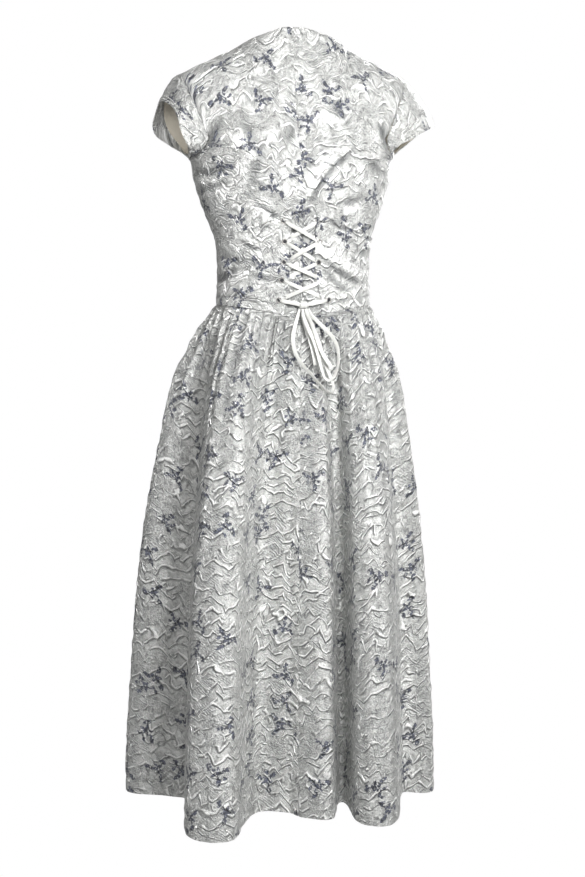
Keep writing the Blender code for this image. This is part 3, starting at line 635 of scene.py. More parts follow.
def arc_lengths(grid, start_column=0):
    """Metres along each row from a column, and down each column from the first row."""
    steps = np.linalg.norm(np.diff(grid, axis=1), axis=-1)
    along = np.concatenate([np.zeros((len(grid), 1)), np.cumsum(steps, axis=1)], axis=1)
    along = along - along[:, start_column : start_column + 1]
    steps = np.linalg.norm(np.diff(grid, axis=0), axis=-1)
    down = np.concatenate([np.zeros((1, grid.shape[1])), np.cumsum(steps, axis=0)], axis=0)
    if grid[-1, 0, 2] > grid[0, 0, 2]:
        down = -down
    return np.stack([along * MM, down * MM], axis=-1)


def pucker(uv):
    """The soft puckering of the crinkled cloth, about -1 to 1."""
    total = np.zeros(uv.shape[:2])
    size = sum(row[3] for row in PUCKERS)
    for along, down, start, share in PUCKERS:
        bend = 0.8 * np.sin(along * 0.37 * uv[..., 1] * 6.0 + start)
        turns = (along * uv[..., 0] + down * uv[..., 1]) * 0.55
        total += share * np.sin(2.0 * math.pi * turns + start * 2.0 + bend)
    return total / size * 2.0


def creases(grid, table):
    """How far the creases of a table push each point in; each has a raised lip along one side."""
    x, height = grid[..., 0], grid[..., 2]
    total = np.zeros(x.shape)
    for x1, h1, x2, h2, half_width, depth in table:
        run = np.array([x2 - x1, h2 - h1])
        length = float(np.hypot(*run))
        t = np.clip(((x - x1) * run[0] + (height - h1) * run[1]) / length**2, 0.0, 1.0)
        bow = 0.06 * length * np.sin(math.pi * t)
        away_x = x - (x1 + run[0] * t - run[1] / length * bow)
        away_h = height - (h1 + run[1] * t + run[0] / length * bow)
        sideways = (away_h * run[0] - away_x * run[1]) / length
        past_end = away_x**2 + away_h**2 - sideways**2
        near = np.exp(-(sideways**2 + past_end) / half_width**2)
        lip = np.exp(-((sideways - 1.5 * half_width) ** 2 + past_end) / half_width**2)
        total += depth * (near - 0.6 * lip) * (0.35 + 0.65 * np.sin(math.pi * np.clip(t, 0.04, 0.96)))
    return total


def edge_distance(uv, sides):
    """Millimetres to the nearest of the named edges of a panel."""
    rows, columns = uv.shape[:2]
    far = np.full((rows, columns), 1e3)
    edges = {
        "first_row": np.abs(uv[..., 1] - uv[0:1, :, 1]),
        "last_row": np.abs(uv[..., 1] - uv[-1:, :, 1]),
        "first_column": np.abs(uv[..., 0] - uv[:, 0:1, 0]),
        "last_column": np.abs(uv[..., 0] - uv[:, -1:, 0]),
    }
    for side in sides:
        far = np.minimum(far, edges[side] * 1000.0)
    return far


def groove(distance, at, half_width, depth):
    """A rounded groove that runs at a distance from an edge: how deep each point lies in it."""
    return depth * np.exp(-(((distance - at) / half_width) ** 2))


def sewn(uv, sides, line):
    """The groove of a sewn line beside the named edges of a panel."""
    return groove(edge_distance(uv, sides), *line)


def link_piece(name, mesh, finish):
    """A new object with a mesh and its material."""
    mesh.materials.append(finish)
    piece = bpy.data.objects.new(name, mesh)
    bpy.context.scene.collection.objects.link(piece)
    return piece


def add_cloth(name, grid, normals, relief, uv, thickness, finish, fold=None, inside=0.0):
    """A closed shell of cloth on a grid of points, with its lengths along and down as its UV map.

    Its fold shade values are shade painted into each point's colour where it lies in a fold, from 0 to 1,
    and painted light on a raised lip, below 0. inside is the same for the inner face.
    """
    outer = to_metres(grid + normals * relief[..., None])
    inner = to_metres(grid + normals * (relief[..., None] - thickness))
    rows, columns = grid.shape[:2]
    count = rows * columns
    vertices = np.concatenate([outer.reshape(-1, 3), inner.reshape(-1, 3)])
    index = np.arange(count).reshape(rows, columns)
    a, b = index[:-1, :-1].ravel(), index[:-1, 1:].ravel()
    c, d = index[1:, 1:].ravel(), index[1:, :-1].ravel()
    faces = [np.stack([a, b, c, d], axis=1), np.stack([d, c, b, a], axis=1) + count]
    for line in (index[0, ::-1], index[:, 0], index[-1, :], index[::-1, -1]):
        faces.append(np.stack([line[:-1], line[1:], line[1:] + count, line[:-1] + count], axis=1))
    faces = np.concatenate(faces)
    mesh = bpy.data.meshes.new(name)
    mesh.vertices.add(len(vertices))
    mesh.vertices.foreach_set("co", vertices.ravel())
    mesh.loops.add(faces.size)
    mesh.loops.foreach_set("vertex_index", faces.ravel().astype(np.int32))
    mesh.polygons.add(len(faces))
    mesh.polygons.foreach_set("loop_start", np.arange(0, faces.size, 4, dtype=np.int32))
    mesh.update(calc_edges=True)
    flat = np.tile(uv.reshape(-1, 2) + np.array(PATTERN_PLACES.get(name, (0.0, 0.0))), (2, 1))
    layer = mesh.uv_layers.new(name="cloth")
    layer.uv.foreach_set("vector", flat[faces.ravel()].ravel().astype(np.float32))
    # Painted shade (above 0) and painted light (below 0) for each point, kept as an attribute that the
    # cloth material reads.
    shade = np.zeros(count) if fold is None else np.clip(fold, -1.0, 1.0).ravel()
    attribute = mesh.attributes.new("fold", "FLOAT", "POINT")
    attribute.data.foreach_set("value", np.concatenate([shade, np.full(count, inside)]).astype(np.float32))
    mesh.validate()
    mesh.shade_smooth()
    mesh.set_sharp_from_angle(angle=math.radians(70.0))
    return link_piece(f"{name}_cloth", mesh, finish)


def declare_cloth(piece, node):
    """Attaches the shell to the root and hides the model's part that it stands for."""
    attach(piece, "root")
    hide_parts(node)


# Shader arithmetic.


class Value:
    """A shader socket that takes part in sums."""

    def __init__(self, tree, socket):
        self.tree = tree
        self.socket = socket

    def math(self, operation, *others):
        """Adds a Math node on this value and others."""
        node = self.tree.nodes.new("ShaderNodeMath")
        node.operation = operation
        for place, item in enumerate((self, *others)):
            plug(self.tree, node.inputs[place], item)
        return Value(self.tree, node.outputs[0])

    def __add__(self, other):
        return self.math("ADD", other)

    __radd__ = __add__

    def __mul__(self, other):
        return self.math("MULTIPLY", other)

    __rmul__ = __mul__

    def __sub__(self, other):
        return self.math("SUBTRACT", other)

    def __rsub__(self, other):
        return (self * -1.0) + other

    def __truediv__(self, other):
        return self.math("DIVIDE", other)

    def __abs__(self):
        return self.math("ABSOLUTE")

    def step(self, low, high):
        """0 below low, 1 above high, smooth between."""
        node = self.tree.nodes.new("ShaderNodeMapRange")
        node.interpolation_type = "SMOOTHSTEP"
        plug(self.tree, node.inputs["Value"], self)
        node.inputs["From Min"].default_value = low
        node.inputs["From Max"].default_value = high
        return Value(self.tree, node.outputs[0])


def plug(tree, socket, item):
    """Links a value to a socket, or sets the socket."""
    if isinstance(item, Value):
        tree.links.new(item.socket, socket)
    else:
        socket.default_value = item


def put(tree, kind, output, inputs, **settings):
    """Adds a node and gives one of its outputs."""
    node = tree.nodes.new(kind)
    for key, setting in settings.items():
        setattr(node, key, setting)
    for key, item in inputs.items():
        plug(tree, node.inputs[key], item)
    return Value(tree, node.outputs[output])


def mix_colour(tree, share, first, second):
    """The first colour at share 0, the second at 1."""
    node = tree.nodes.new("ShaderNodeMix")
    node.data_type = "RGBA"
    plug(tree, node.inputs[0], share)
    plug(tree, node.inputs[6], first if isinstance(first, Value) else (*first, 1.0))
    plug(tree, node.inputs[7], second if isinstance(second, Value) else (*second, 1.0))
    return Value(tree, node.outputs[2])


def new_finish(name):
    """An empty material with its tree and its shader."""
    finish = bpy.data.materials.new(name)
    finish.use_nodes = True
    return finish, finish.node_tree, finish.node_tree.nodes["Principled BSDF"]


def axis(tree, vector, name):
    """X, Y or Z of a vector."""
    return put(tree, "ShaderNodeSeparateXYZ", name, {"Vector": vector})


def object_place(tree):
    """A point's place on its piece."""
    return put(tree, "ShaderNodeTexCoord", "Object", {})


def bump(tree, shader, height, strength, distance):
    """Bends the shader's normals by a height, which stands for a distance in metres."""
    inputs = {"Strength": strength, "Distance": distance, "Height": height}
    plug(tree, shader.inputs["Normal"], put(tree, "ShaderNodeBump", "Normal", inputs))


def noise(tree, place, scale, detail=2.0, roughness=0.5):
    """Flat noise, about 0 to 1, with scale cells in a metre."""
    inputs = {"Vector": place, "Scale": scale, "Detail": detail, "Roughness": roughness}
    return put(tree, "ShaderNodeTexNoise", "Fac", inputs, noise_dimensions="2D")


def zigzag(tree, uv, u, v, period, spacing, swing, seed):
    """Raised lines in uneven chevrons: the signed distance across a line, in spacings from its middle."""
    drift = noise(tree, uv, 13.0 + seed, 1.0) - 0.5
    wobble = noise(tree, uv, 48.0 + seed, 1.0) - 0.5
    run = (u + drift * 0.045 + seed * 0.013) / period
    peak = abs(run.math("FRACT") - 0.5) * 2.0
    level = (v + peak * swing + drift * 0.04 + wobble * 0.009) / spacing
    return level.math("FRACT") - 0.5


def ridge_of(line, half_width, here):
    """A rounded ridge along a line of chevrons."""
    return (1.0 - abs(line) / half_width).step(0.0, 0.85) * here


def sprigs(tree, uv, colours):
    """Small flower sprigs scattered over the cloth: how much of one is here, and its colour."""
    cell = {"Vector": uv, "Scale": 17.5, "Randomness": 0.8}
    place = put(tree, "ShaderNodeTexVoronoi", "Position", cell, voronoi_dimensions="2D")
    tint = put(tree, "ShaderNodeTexVoronoi", "Color", cell, voronoi_dimensions="2D")
    chance = axis(tree, tint, "X")
    turn = axis(tree, tint, "Y") * 6.283
    ragged = noise(tree, uv, 190.0, 2.0) - 0.5
    offset = put(tree, "ShaderNodeVectorMath", 0, {0: uv, 1: place}, operation="SUBTRACT")
    x = axis(tree, offset, "X") + ragged * 0.008
    y = axis(tree, offset, "Y") + ragged * 0.006
    across = x * turn.math("COSINE") + y * turn.math("SINE")
    along = y * turn.math("COSINE") - x * turn.math("SINE")
    radius = (across * across + along * along).math("SQRT")
    angle = along.math("ARCTAN2", across)
    petals = (angle * 5.0).math("COSINE") * 0.0028 + 0.0072
    flower = (petals - radius).step(-0.0008, 0.0014)

    def leaf(centre_x, centre_y, long, short):
        a, b = (across - centre_x) / long, (along - centre_y) / short
        return (1.0 - (a * a + b * b)).step(-0.15, 0.35)

    leaves = leaf(0.0135, 0.004, 0.0075, 0.0034).math("MAXIMUM", leaf(-0.012, 0.008, 0.0038, 0.0062))
    leaves = leaves.math("MAXIMUM", leaf(0.001, -0.014, 0.0032, 0.0072))
    leaves = leaves.math("MAXIMUM", leaf(0.0105, -0.0085, 0.0052, 0.0026) * chance.step(0.5, 0.55))
    speckle = noise(tree, uv, 300.0, 2.0)
    here = flower.math("MAXIMUM", leaves) * speckle.step(0.32, 0.44) * chance.step(0.24, 0.28)
    lighter = noise(tree, uv, 210.0, 1.0).step(0.42, 0.62)
    return here, mix_colour(tree, lighter, colours.sprig_dark, colours.sprig_light)


def chevrons(tree, uv, u, v):
    """The raised chevrons of the cloth and the ditches beside them, in two sets over different areas."""
    where = noise(tree, uv, 41.0, 2.0)
    thick = noise(tree, uv, 40.0, 0.0)
    ridges, ditches = [], []
    for areas, (lines, thickness, ditch, edge) in zip((where, 1.0 - where), CHEVRONS):
        here = areas.step(*edge)
        line = zigzag(tree, uv, u, v, *lines)
        ridges.append(ridge_of(line, thickness[0] + thick * thickness[1], here))
        ditches.append(ridge_of(line - ditch[0], ditch[1], here))
    return ridges[0].math("MAXIMUM", ridges[1]), ditches[0].math("MAXIMUM", ditches[1])


def patches(tree, uv, u, v):
    """Crepe and hatched patches of the cloth: the relief of each, and where it is."""
    cell = {"Vector": uv, "Scale": 31.0, "Randomness": 0.9}
    tint = put(tree, "ShaderNodeTexVoronoi", "Color", cell, voronoi_dimensions="2D")
    kind = axis(tree, tint, "X")
    settings = {"voronoi_dimensions": "2D", "feature": "DISTANCE_TO_EDGE"}
    inside = put(tree, "ShaderNodeTexVoronoi", "Distance", cell, **settings).step(0.04, 0.14)
    crepe = noise(tree, uv, 400.0, 2.0, 0.6)
    crepe_on = kind.step(0.66, 0.70) * inside
    run = (u * 0.62 + v + (noise(tree, uv, 90.0, 1.0) - 0.5) * 0.006) / HATCH_SPACING
    hatch = abs(run.math("FRACT") - 0.5) * 2.0
    hatch_on = (1.0 - kind.step(0.16, 0.20)) * inside
    return crepe, crepe_on, hatch, hatch_on


def bent_pattern(tree, plain, warp):
    """The cloth's own lengths, pulled unevenly out of true."""
    inputs = {"Vector": plain, "Scale": 26.0, "Detail": 1.0}
    bend = put(tree, "ShaderNodeTexNoise", "Color", inputs, noise_dimensions="2D")
    bend = put(tree, "ShaderNodeVectorMath", 0, {0: bend, 1: (0.5, 0.5, 0.5)}, operation="SUBTRACT")
    inputs = {0: bend, 1: (warp, warp, 0.0), 2: plain}
    return put(tree, "ShaderNodeVectorMath", 0, inputs, operation="MULTIPLY_ADD")


def cloque_finish(name, colours, warp, relief):
    """Crinkled silver jacquard: chevron ridges, crepe patches and hatched ones, with flower sprigs."""
    finish, tree, shader = new_finish(name)
    plain = put(tree, "ShaderNodeUVMap", "UV", {}, uv_map="cloth")
    uv = bent_pattern(tree, plain, warp)
    u, v = axis(tree, uv, "X"), axis(tree, uv, "Y")
    ridge, ditch = chevrons(tree, uv, u, v)
    crepe, crepe_on, hatch, hatch_on = patches(tree, uv, u, v)
    calm = 1.0 - crepe_on * 0.85 - hatch_on * 0.6
    crinkle = noise(tree, uv, 104.0, 5.0, 0.68)
    height = crinkle * 0.95 + (ridge * 0.95 - ditch * 0.30) * calm * relief
    height = height + (crepe - 0.5) * (crepe_on * 0.40 + 0.34) + hatch * hatch_on * 0.22
    crest = ridge.step(0.30, 0.85) * calm
    # The fold shade attribute: painted shade in folds and creases, painted light on their raised lips and
    # on the sleeves' inner faces.
    fold = put(tree, "ShaderNodeAttribute", "Fac", {}, attribute_name="fold")
    # Painted highlight: crests, crinkle tops and crepe tops are mixed towards the highlight colour, and
    # painted fold shade takes it away.
    painted_lightness = crest * 1.05 * relief + (crinkle - 0.5) * 1.2 + 0.34 - fold * 0.7 + (crepe - 0.5) * 0.5
    lit = mix_colour(tree, painted_lightness.step(0.05, 0.95), colours.cloth, colours.painted_highlight)
    # Painted shade: ditches beside the ridges, crinkle hollows, crepe and hatch grooves, and folds are
    # mixed towards the shade colour.
    painted_shade_share = ditch * calm * (1.0 - crest) * 0.46 * relief + (0.46 - crinkle).step(0.0, 0.12) * 0.34
    painted_shade_share = painted_shade_share + crepe_on * (0.62 - crepe).step(0.0, 0.3) * 0.35 + hatch_on * (1.0 - hatch) * 0.30
    painted_shade_share = painted_shade_share + fold.step(0.05, 1.0) * 0.62
    shaded = mix_colour(tree, painted_shade_share, lit, colours.shade)
    here, sprig_colour = sprigs(tree, plain, colours)
    base = mix_colour(tree, here * 0.95, shaded, sprig_colour)
    plug(tree, shader.inputs["Base Color"], base)
    plug(tree, shader.inputs["Roughness"], 0.42 - ridge * 0.12 + crepe_on * 0.10)
    plug(tree, shader.inputs["Coat Weight"], crest * 0.8)
    shader.inputs["Coat Roughness"].default_value = 0.28
    plug(tree, shader.inputs["Metallic"], 0.55 - here * 0.55 - crest * 0.4)
    shader.inputs["Sheen Weight"].default_value = 0.08
    shader.inputs["Sheen Roughness"].default_value = 0.4
    shader.inputs["Specular IOR Level"].default_value = 0.6
    bump(tree, shader, height, 1.0, CLOTH_BUMP)
    return finish


def woven_finish(name, colour, roughness, scale, depth, sheen):
    """A plain weave in object space, with a little unevenness in its colour."""
    finish, tree, shader = new_finish(name)
    place = object_place(tree)
    across = ((axis(tree, place, "X") + axis(tree, place, "Y")) * scale).math("SINE")
    down = (axis(tree, place, "Z") * scale).math("SINE")
    weave = across * down * 0.5 + 0.5
    uneven = put(tree, "ShaderNodeTexNoise", "Fac", {"Vector": place, "Scale": 60.0, "Detail": 3.0})
    darker = tuple(part * 0.72 for part in colour)
    base = mix_colour(tree, weave * 0.25 + uneven * 0.5, darker, colour)
    plug(tree, shader.inputs["Base Color"], base)
    plug(tree, shader.inputs["Roughness"], uneven * 0.12 + (roughness - 0.06))
    shader.inputs["Sheen Weight"].default_value = sheen
    bump(tree, shader, weave + uneven * 0.6, 0.6, depth)
    return finish


def metal_finish(colour):
    """Dark worn metal of the eyelets."""
    finish, tree, shader = new_finish("eyelet_metal")
    inputs = {"Vector": object_place(tree), "Scale": 900.0, "Detail": 3.0}
    worn = put(tree, "ShaderNodeTexNoise", "Fac", inputs).step(0.35, 0.7)
    lighter = tuple(min(part * 2.4 + 0.05, 1.0) for part in colour)
    plug(tree, shader.inputs["Base Color"], mix_colour(tree, worn, colour, lighter))
    plug(tree, shader.inputs["Roughness"], worn * 0.2 + 0.3)
    shader.inputs["Metallic"].default_value = 1.0
    return finish


def hole_finish():
    """The shade inside an eyelet."""
    finish, tree, shader = new_finish("eyelet_hole")
    uneven = put(tree, "ShaderNodeTexNoise", "Fac", {"Vector": object_place(tree), "Scale": 700.0})
    dark = mix_colour(tree, uneven, (0.012, 0.012, 0.013), (0.04, 0.04, 0.045))
    plug(tree, shader.inputs["Base Color"], dark)
    shader.inputs["Roughness"].default_value = 0.9
    return finish


def made(name, maker):
    """The named material, made once."""
    return bpy.data.materials.get(name) or maker()


def cloque_material(context, name):
    """A jacquard of the dress, made once."""
    return made(name, lambda: cloque_finish(name, context.scene.dress_colours, *CLOQUES[name]))


def woven_material(context, name):
    """A plain weave of the dress, made once."""
    colour_name, *weave = WEAVES[name]
    colour = tuple(getattr(context.scene.dress_colours, colour_name))
    return made(name, lambda: woven_finish(name, colour, *weave))


# Lacing.


def back_surface(x, height):
    """The point of the bodice's back at x, and the direction that faces out of it."""

    def depth_at(across, level):
        half_width, back, _, lean = curve(TORSO, level)
        return float(oval_depth(back, across - lean, half_width))

    along = Vector((2.0, depth_at(x + 1.0, height) - depth_at(x - 1.0, height), 0.0))
    rise = Vector((0.0, depth_at(x, height + 1.0) - depth_at(x, height - 1.0), 2.0))
    return Vector((x, depth_at(x, height), height)), rise.cross(along).normalized()


def lace_between(start, goal, stop_x, profile):
    """Points of a lace on its way over the back as far as stop_x, and the ways that face out there."""
    reach = (stop_x - start[0]) / (goal[0] - start[0])
    points, facing = [], []
    for share, stand in profile:
        x = start[0] + (goal[0] - start[0]) * share * reach
        height = start[1] + (goal[1] - start[1]) * share * reach
        point, out = back_surface(x, height)
        points.append(point + out * stand)
        facing.append(out)
    return points, facing


def skirt_front_of(x, height):
    """How far back the skirt stands near x, over the folds beside it."""
    steps = np.arange(-60.0, 41.0)
    points, seam = skirt_base(steps, np.full_like(steps, min(height, 735.0)))
    stand = points[:, 1] + curve(GATHER_DEPTH, seam - points[:, 2])[..., 0]
    return float(stand[np.abs(points[:, 0] - x) <= 20.0].max())


def smooth_run(points, step):
    """Points a step apart on a smooth curve through the given ones."""
    count = len(points)
    run = []
    for index in range(count - 1):
        a = points[max(index - 1, 0)]
        b, c = points[index], points[index + 1]
        d = points[min(index + 2, count - 1)]
        pieces = max(1, round((c - b).length / step))
        for piece in range(pieces):
            t = piece / pieces
            cubic = (3 * b - a - 3 * c + d) * t**3 + (2 * a - 5 * b + 4 * c - d) * t**2
            run.append(0.5 * (2 * b + (c - a) * t + cubic))
    return run + [points[-1]]


def way_at(path, index):
    """The way a path runs at one of its points."""
    return (path[min(index + 1, len(path) - 1)] - path[max(index - 1, 0)]).normalized()


def mesh_of(name, vertices, faces):
    """A checked mesh from lists."""
    mesh = bpy.data.meshes.new(name)
    mesh.from_pydata(vertices, [], faces)
    mesh.validate()
    return mesh


def sweep_ribbon(name, path, facing, widths, thickness, finish):
    """A flat ribbon along a path: facing is the way its broad side looks, widths its breadth, in mm."""
    vertices, faces = [], []
    count, ring = len(path), len(RIBBON_SECTION)
    for index, point in enumerate(path):
        along = way_at(path, index)
        out = (facing[index] - facing[index].dot(along) * along).normalized()
        across = along.cross(out)
        curl = 1.0 + 0.5 * abs(widths[index] / max(widths) - 1.0)
        for a, b in RIBBON_SECTION:
            offset = across * (a * widths[index]) + out * (b * thickness * curl)
            vertices.append(tuple(to_metres(point + offset)))
    for index in range(count - 1):
        for place in range(ring):
            a, b = index * ring + place, index * ring + (place + 1) % ring
            faces.append((a, b, b + ring, a + ring))
    faces.append(tuple(range(ring))[::-1])
    faces.append(tuple((count - 1) * ring + place for place in range(ring)))
    mesh = mesh_of(name, vertices, faces)
    mesh.shade_smooth()
    mesh.set_sharp_from_angle(angle=math.radians(50.0))
    return link_piece(f"{name}_ribbon", mesh, finish)


def refine(points, facing, step=2.0):
    """A finer run through points, with their directions carried along."""
    fine = smooth_run(points, step)
    result = []
    for point in fine:
        gaps = [(point - given).length for given in points]
        near = sorted(range(len(points)), key=lambda index: gaps[index])[:2]
        weights = [1.0 / (gaps[index] + 0.5) for index in near]
        result.append(sum((facing[i] * w for i, w in zip(near, weights)), Vector()).normalized())
    return fine, result


# The grids of the bodice and its sleeves.


def bodice_grids(cell):
    """The grids of the two backs and of the front, and the first row of their armholes."""
    corselet, side_rows, armhole, shoulder = bodice_zones(cell)
    rows = corselet + side_rows + armhole + shoulder
    shares = half_shares(cell)
    backs = {}
    for side in (1.0, -1.0):
        backs[side] = np.array([bodice_row(True, side, shares, row) for row in rows])
    mirrored = [bodice_row(False, -1.0, shares, row)[::-1] for row in rows]
    others = [bodice_row(False, 1.0, shares, row)[1:] for row in rows]
    front = np.concatenate([np.array(mirrored), np.array(others)], axis=1)
    return backs, front, len(corselet) + len(side_rows)


def faced_out(grid):
    """Normals of a grid that point away from the dress's middle."""
    normals = grid_normals(grid)
    away = float((grid[..., :2] * normals[..., :2]).sum())
    return normals * (1.0 if away > 0 else -1.0)


def row_between(grid, share):
    """The row of a grid at a share of the way from its first row to its last."""
    place = share * (len(grid) - 1)
    low = int(place)
    return grid[low] + (grid[low + 1] - grid[low]) * (place - low)


def sleeve_grid(side, back, front, first, cell):
    """A cap sleeve from the armhole to its hem, its first column repeated as its last."""
    front_column = 0 if side < 0 else -1
    armhole = np.concatenate([back[first - 1 :, -1], front[first:-1, front_column][::-1]])
    closed = np.concatenate([armhole, armhole[:1]])
    lengths = np.concatenate([[0.0], np.cumsum(np.linalg.norm(np.diff(closed, axis=0), axis=1))])
    share = lengths / lengths[-1]
    even = np.linspace(0.0, 1.0, round(lengths[-1] / cell) + 1)
    start = np.stack([np.interp(even, share, closed[:, axis]) for axis in range(3)], axis=-1)
    lean = float(curve(TORSO, UNDERARM_HEIGHT)[3])
    x, y, height = np.moveaxis(curve_round(SLEEVE_HEMS[side], even, 1.0), -1, 0)
    end = np.stack([lean + side * x, y, height], axis=-1)
    middle = armhole.mean(axis=0)
    spread = start - middle
    spread /= np.linalg.norm(spread, axis=-1, keepdims=True)
    room = np.minimum(1.0, np.linalg.norm(end - start, axis=-1) / 30.0)[:, None]
    rows = []
    for along in np.linspace(0.0, 1.0, 13):
        puff = spread * SLEEVE_FULLNESS * math.sin(math.pi * along) * room
        rows.append(start + (end - start) * along + puff)
    return np.array(rows), middle, even


def ring_normals(grid, middle):
    """Normals of a ring whose last column repeats its first, away from its own middle."""
    wide = np.concatenate([grid[:, -2:-1], grid, grid[:, 1:2]], axis=1)
    normals = grid_normals(wide)[:, 1:-1]
    away = ((grid - middle) * normals).sum(axis=-1, keepdims=True)
    return normals * (1.0 if float(away.sum()) > 0 else -1.0)


# Stitches and zip teeth.


def lengths_along(path):
    """The length of a path from its start to each of its points."""
    lengths = [0.0]
    for a, b in zip(path, path[1:]):
        lengths.append(lengths[-1] + float((b - a).length))
    return lengths


def station(path, facing, lengths, place):
    """The point at a length along a path, the way it runs there and the way that faces out."""
    index = max(min(int(np.searchsorted(lengths, place)), len(path) - 1), 1)
    share = (place - lengths[index - 1]) / max(lengths[index] - lengths[index - 1], 1e-6)
    along = (path[index] - path[index - 1]).normalized()
    return path[index - 1].lerp(path[index], share), along, facing[index]


def add_stitches(name, path, facing, length, finish):
    """A row of sewn stitches along a path of points, each a small flattened bead."""
    lengths = lengths_along(path)
    count = max(int(lengths[-1] / (length + STITCH_GAP)), 1)
    vertices, faces = [], []
    for number in range(count):
        middle, along, out = station(path, facing, lengths, (number + 0.5) * lengths[-1] / count)
        middle = middle + out * 0.2 * STITCH_WIDTH
        across = along.cross(out).normalized()
        start = len(vertices)
        for a, b, c in STITCH_CORNERS:
            offset = along * (a * length) + across * (b * STITCH_WIDTH) + out * (c * STITCH_WIDTH)
            vertices.append(tuple(to_metres(middle + offset)))
        for face in STITCH_FACES:
            faces.append(tuple(start + corner for corner in face))
    mesh = mesh_of(name, vertices, faces)
    mesh.shade_smooth()
    stitches = link_piece(name, mesh, finish)
    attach(stitches, "root")


def add_teeth(name, path, facing, pitch, finish):
    """Zip teeth as one row of small bars across a path."""
    lengths = lengths_along(path)
    vertices, faces = [], []
    for number in range(int(lengths[-1] / pitch)):
        middle, along, out = station(path, facing, lengths, (number + 0.5) * pitch)
        across = along.cross(out).normalized()
        lean = 0.25 if number % 2 else -0.25
        start = len(vertices)
        for a in (-0.4, 0.4):
            for b in (-2.2, 2.2):
                for c in (-0.55, 0.55):
                    offset = along * (a * pitch * 0.62 + lean * b / 4.0) + across * b + out * c
                    vertices.append(tuple(to_metres(middle + offset)))
        for face in TOOTH_FACES:
            faces.append(tuple(start + corner for corner in face))
    teeth = link_piece(name, mesh_of(name, vertices, faces), finish)
    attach(teeth, "root")


# The add-on.


def length_property(name, description, default):
    """A length in metres that a user can change."""
    return FloatProperty(name=name, description=description, default=default, unit="LENGTH")


class DressSizes(bpy.types.PropertyGroup):
    """Sizes of the dress's cloth and laces."""

    cell: length_property("Cell", "Size of a cell of the cloth's mesh", 0.0038)
    cloth: length_property("Cloth", "Thickness of the cloth", 0.0012)
    pucker: length_property("Pucker", "Depth of the soft puckering", 0.0008)
    ribbon: length_property("Ribbon", "Width of the lacing ribbon", 0.0056)
    ribbon_thickness: length_property("Ribbon thickness", "Thickness of the ribbon", 0.0008)
    stitch: length_property("Stitch", "Length of a sewn stitch", 0.0028)
    zip_pitch: length_property("Zip pitch", "Distance between zip teeth", 0.0025)


def colour_property(name, description, default):
    """A colour that a user can change."""
    return FloatVectorProperty(
        name=name, description=description, default=default, subtype="COLOR", min=0.0, max=1.0
    )


class DressColours(bpy.types.PropertyGroup):
    """Colours of the dress, as linear values."""

    cloth: colour_property("Cloth", "Silver ground of the cloth", (0.49, 0.495, 0.482))
    # Painted highlight: the colour that the cloth's raised crests and crinkles are painted towards.
    painted_highlight: colour_property("Lustre", "Raised, shiny parts of the cloth", (0.95, 0.95, 0.93))
    # Painted shade: the colour that the cloth's ditches, hollows and folds are painted towards.
    shade: colour_property("Shade", "Sunk, matt parts of the cloth", (0.16, 0.165, 0.166))
    sprig_dark: colour_property("Dark sprig", "Dark parts of the flower sprigs", (0.018, 0.022, 0.035))
    sprig_light: colour_property("Light sprig", "Light parts of the flower sprigs", (0.074, 0.084, 0.126))
    lining: colour_property("Lining", "Lining of the sleeves", (0.93, 0.86, 0.72))
    ribbon: colour_property("Ribbon", "Lacing ribbon", (0.58, 0.58, 0.555))
    thread: colour_property("Thread", "Sewing thread", (0.86, 0.86, 0.83))
    zip_tape: colour_property("Zip tape", "Tape of the zip", (0.72, 0.72, 0.69))
    metal: colour_property("Metal", "Metal of the eyelets", (0.17, 0.165, 0.155))
    floor: colour_property("Floor", "Floor and backdrop", (0.92, 0.92, 0.92))


class StudioSettings(bpy.types.PropertyGroup):
    """The studio round the dress."""

    distance: length_property("Distance", "Camera to the dress's axis", 2.5)
    turn: FloatProperty(
        name="Turn", description="Where the camera stands", default=math.radians(170.0), unit="ROTATION"
    )
    height: length_property("Height", "Camera's height in the frame", -0.305)
    tilt: FloatProperty(
        name="Tilt", description="How far it looks down", default=math.radians(5.85), unit="ROTATION"
    )
    lens: FloatProperty(name="Lens", description="Focal length in millimetres", default=67.53)


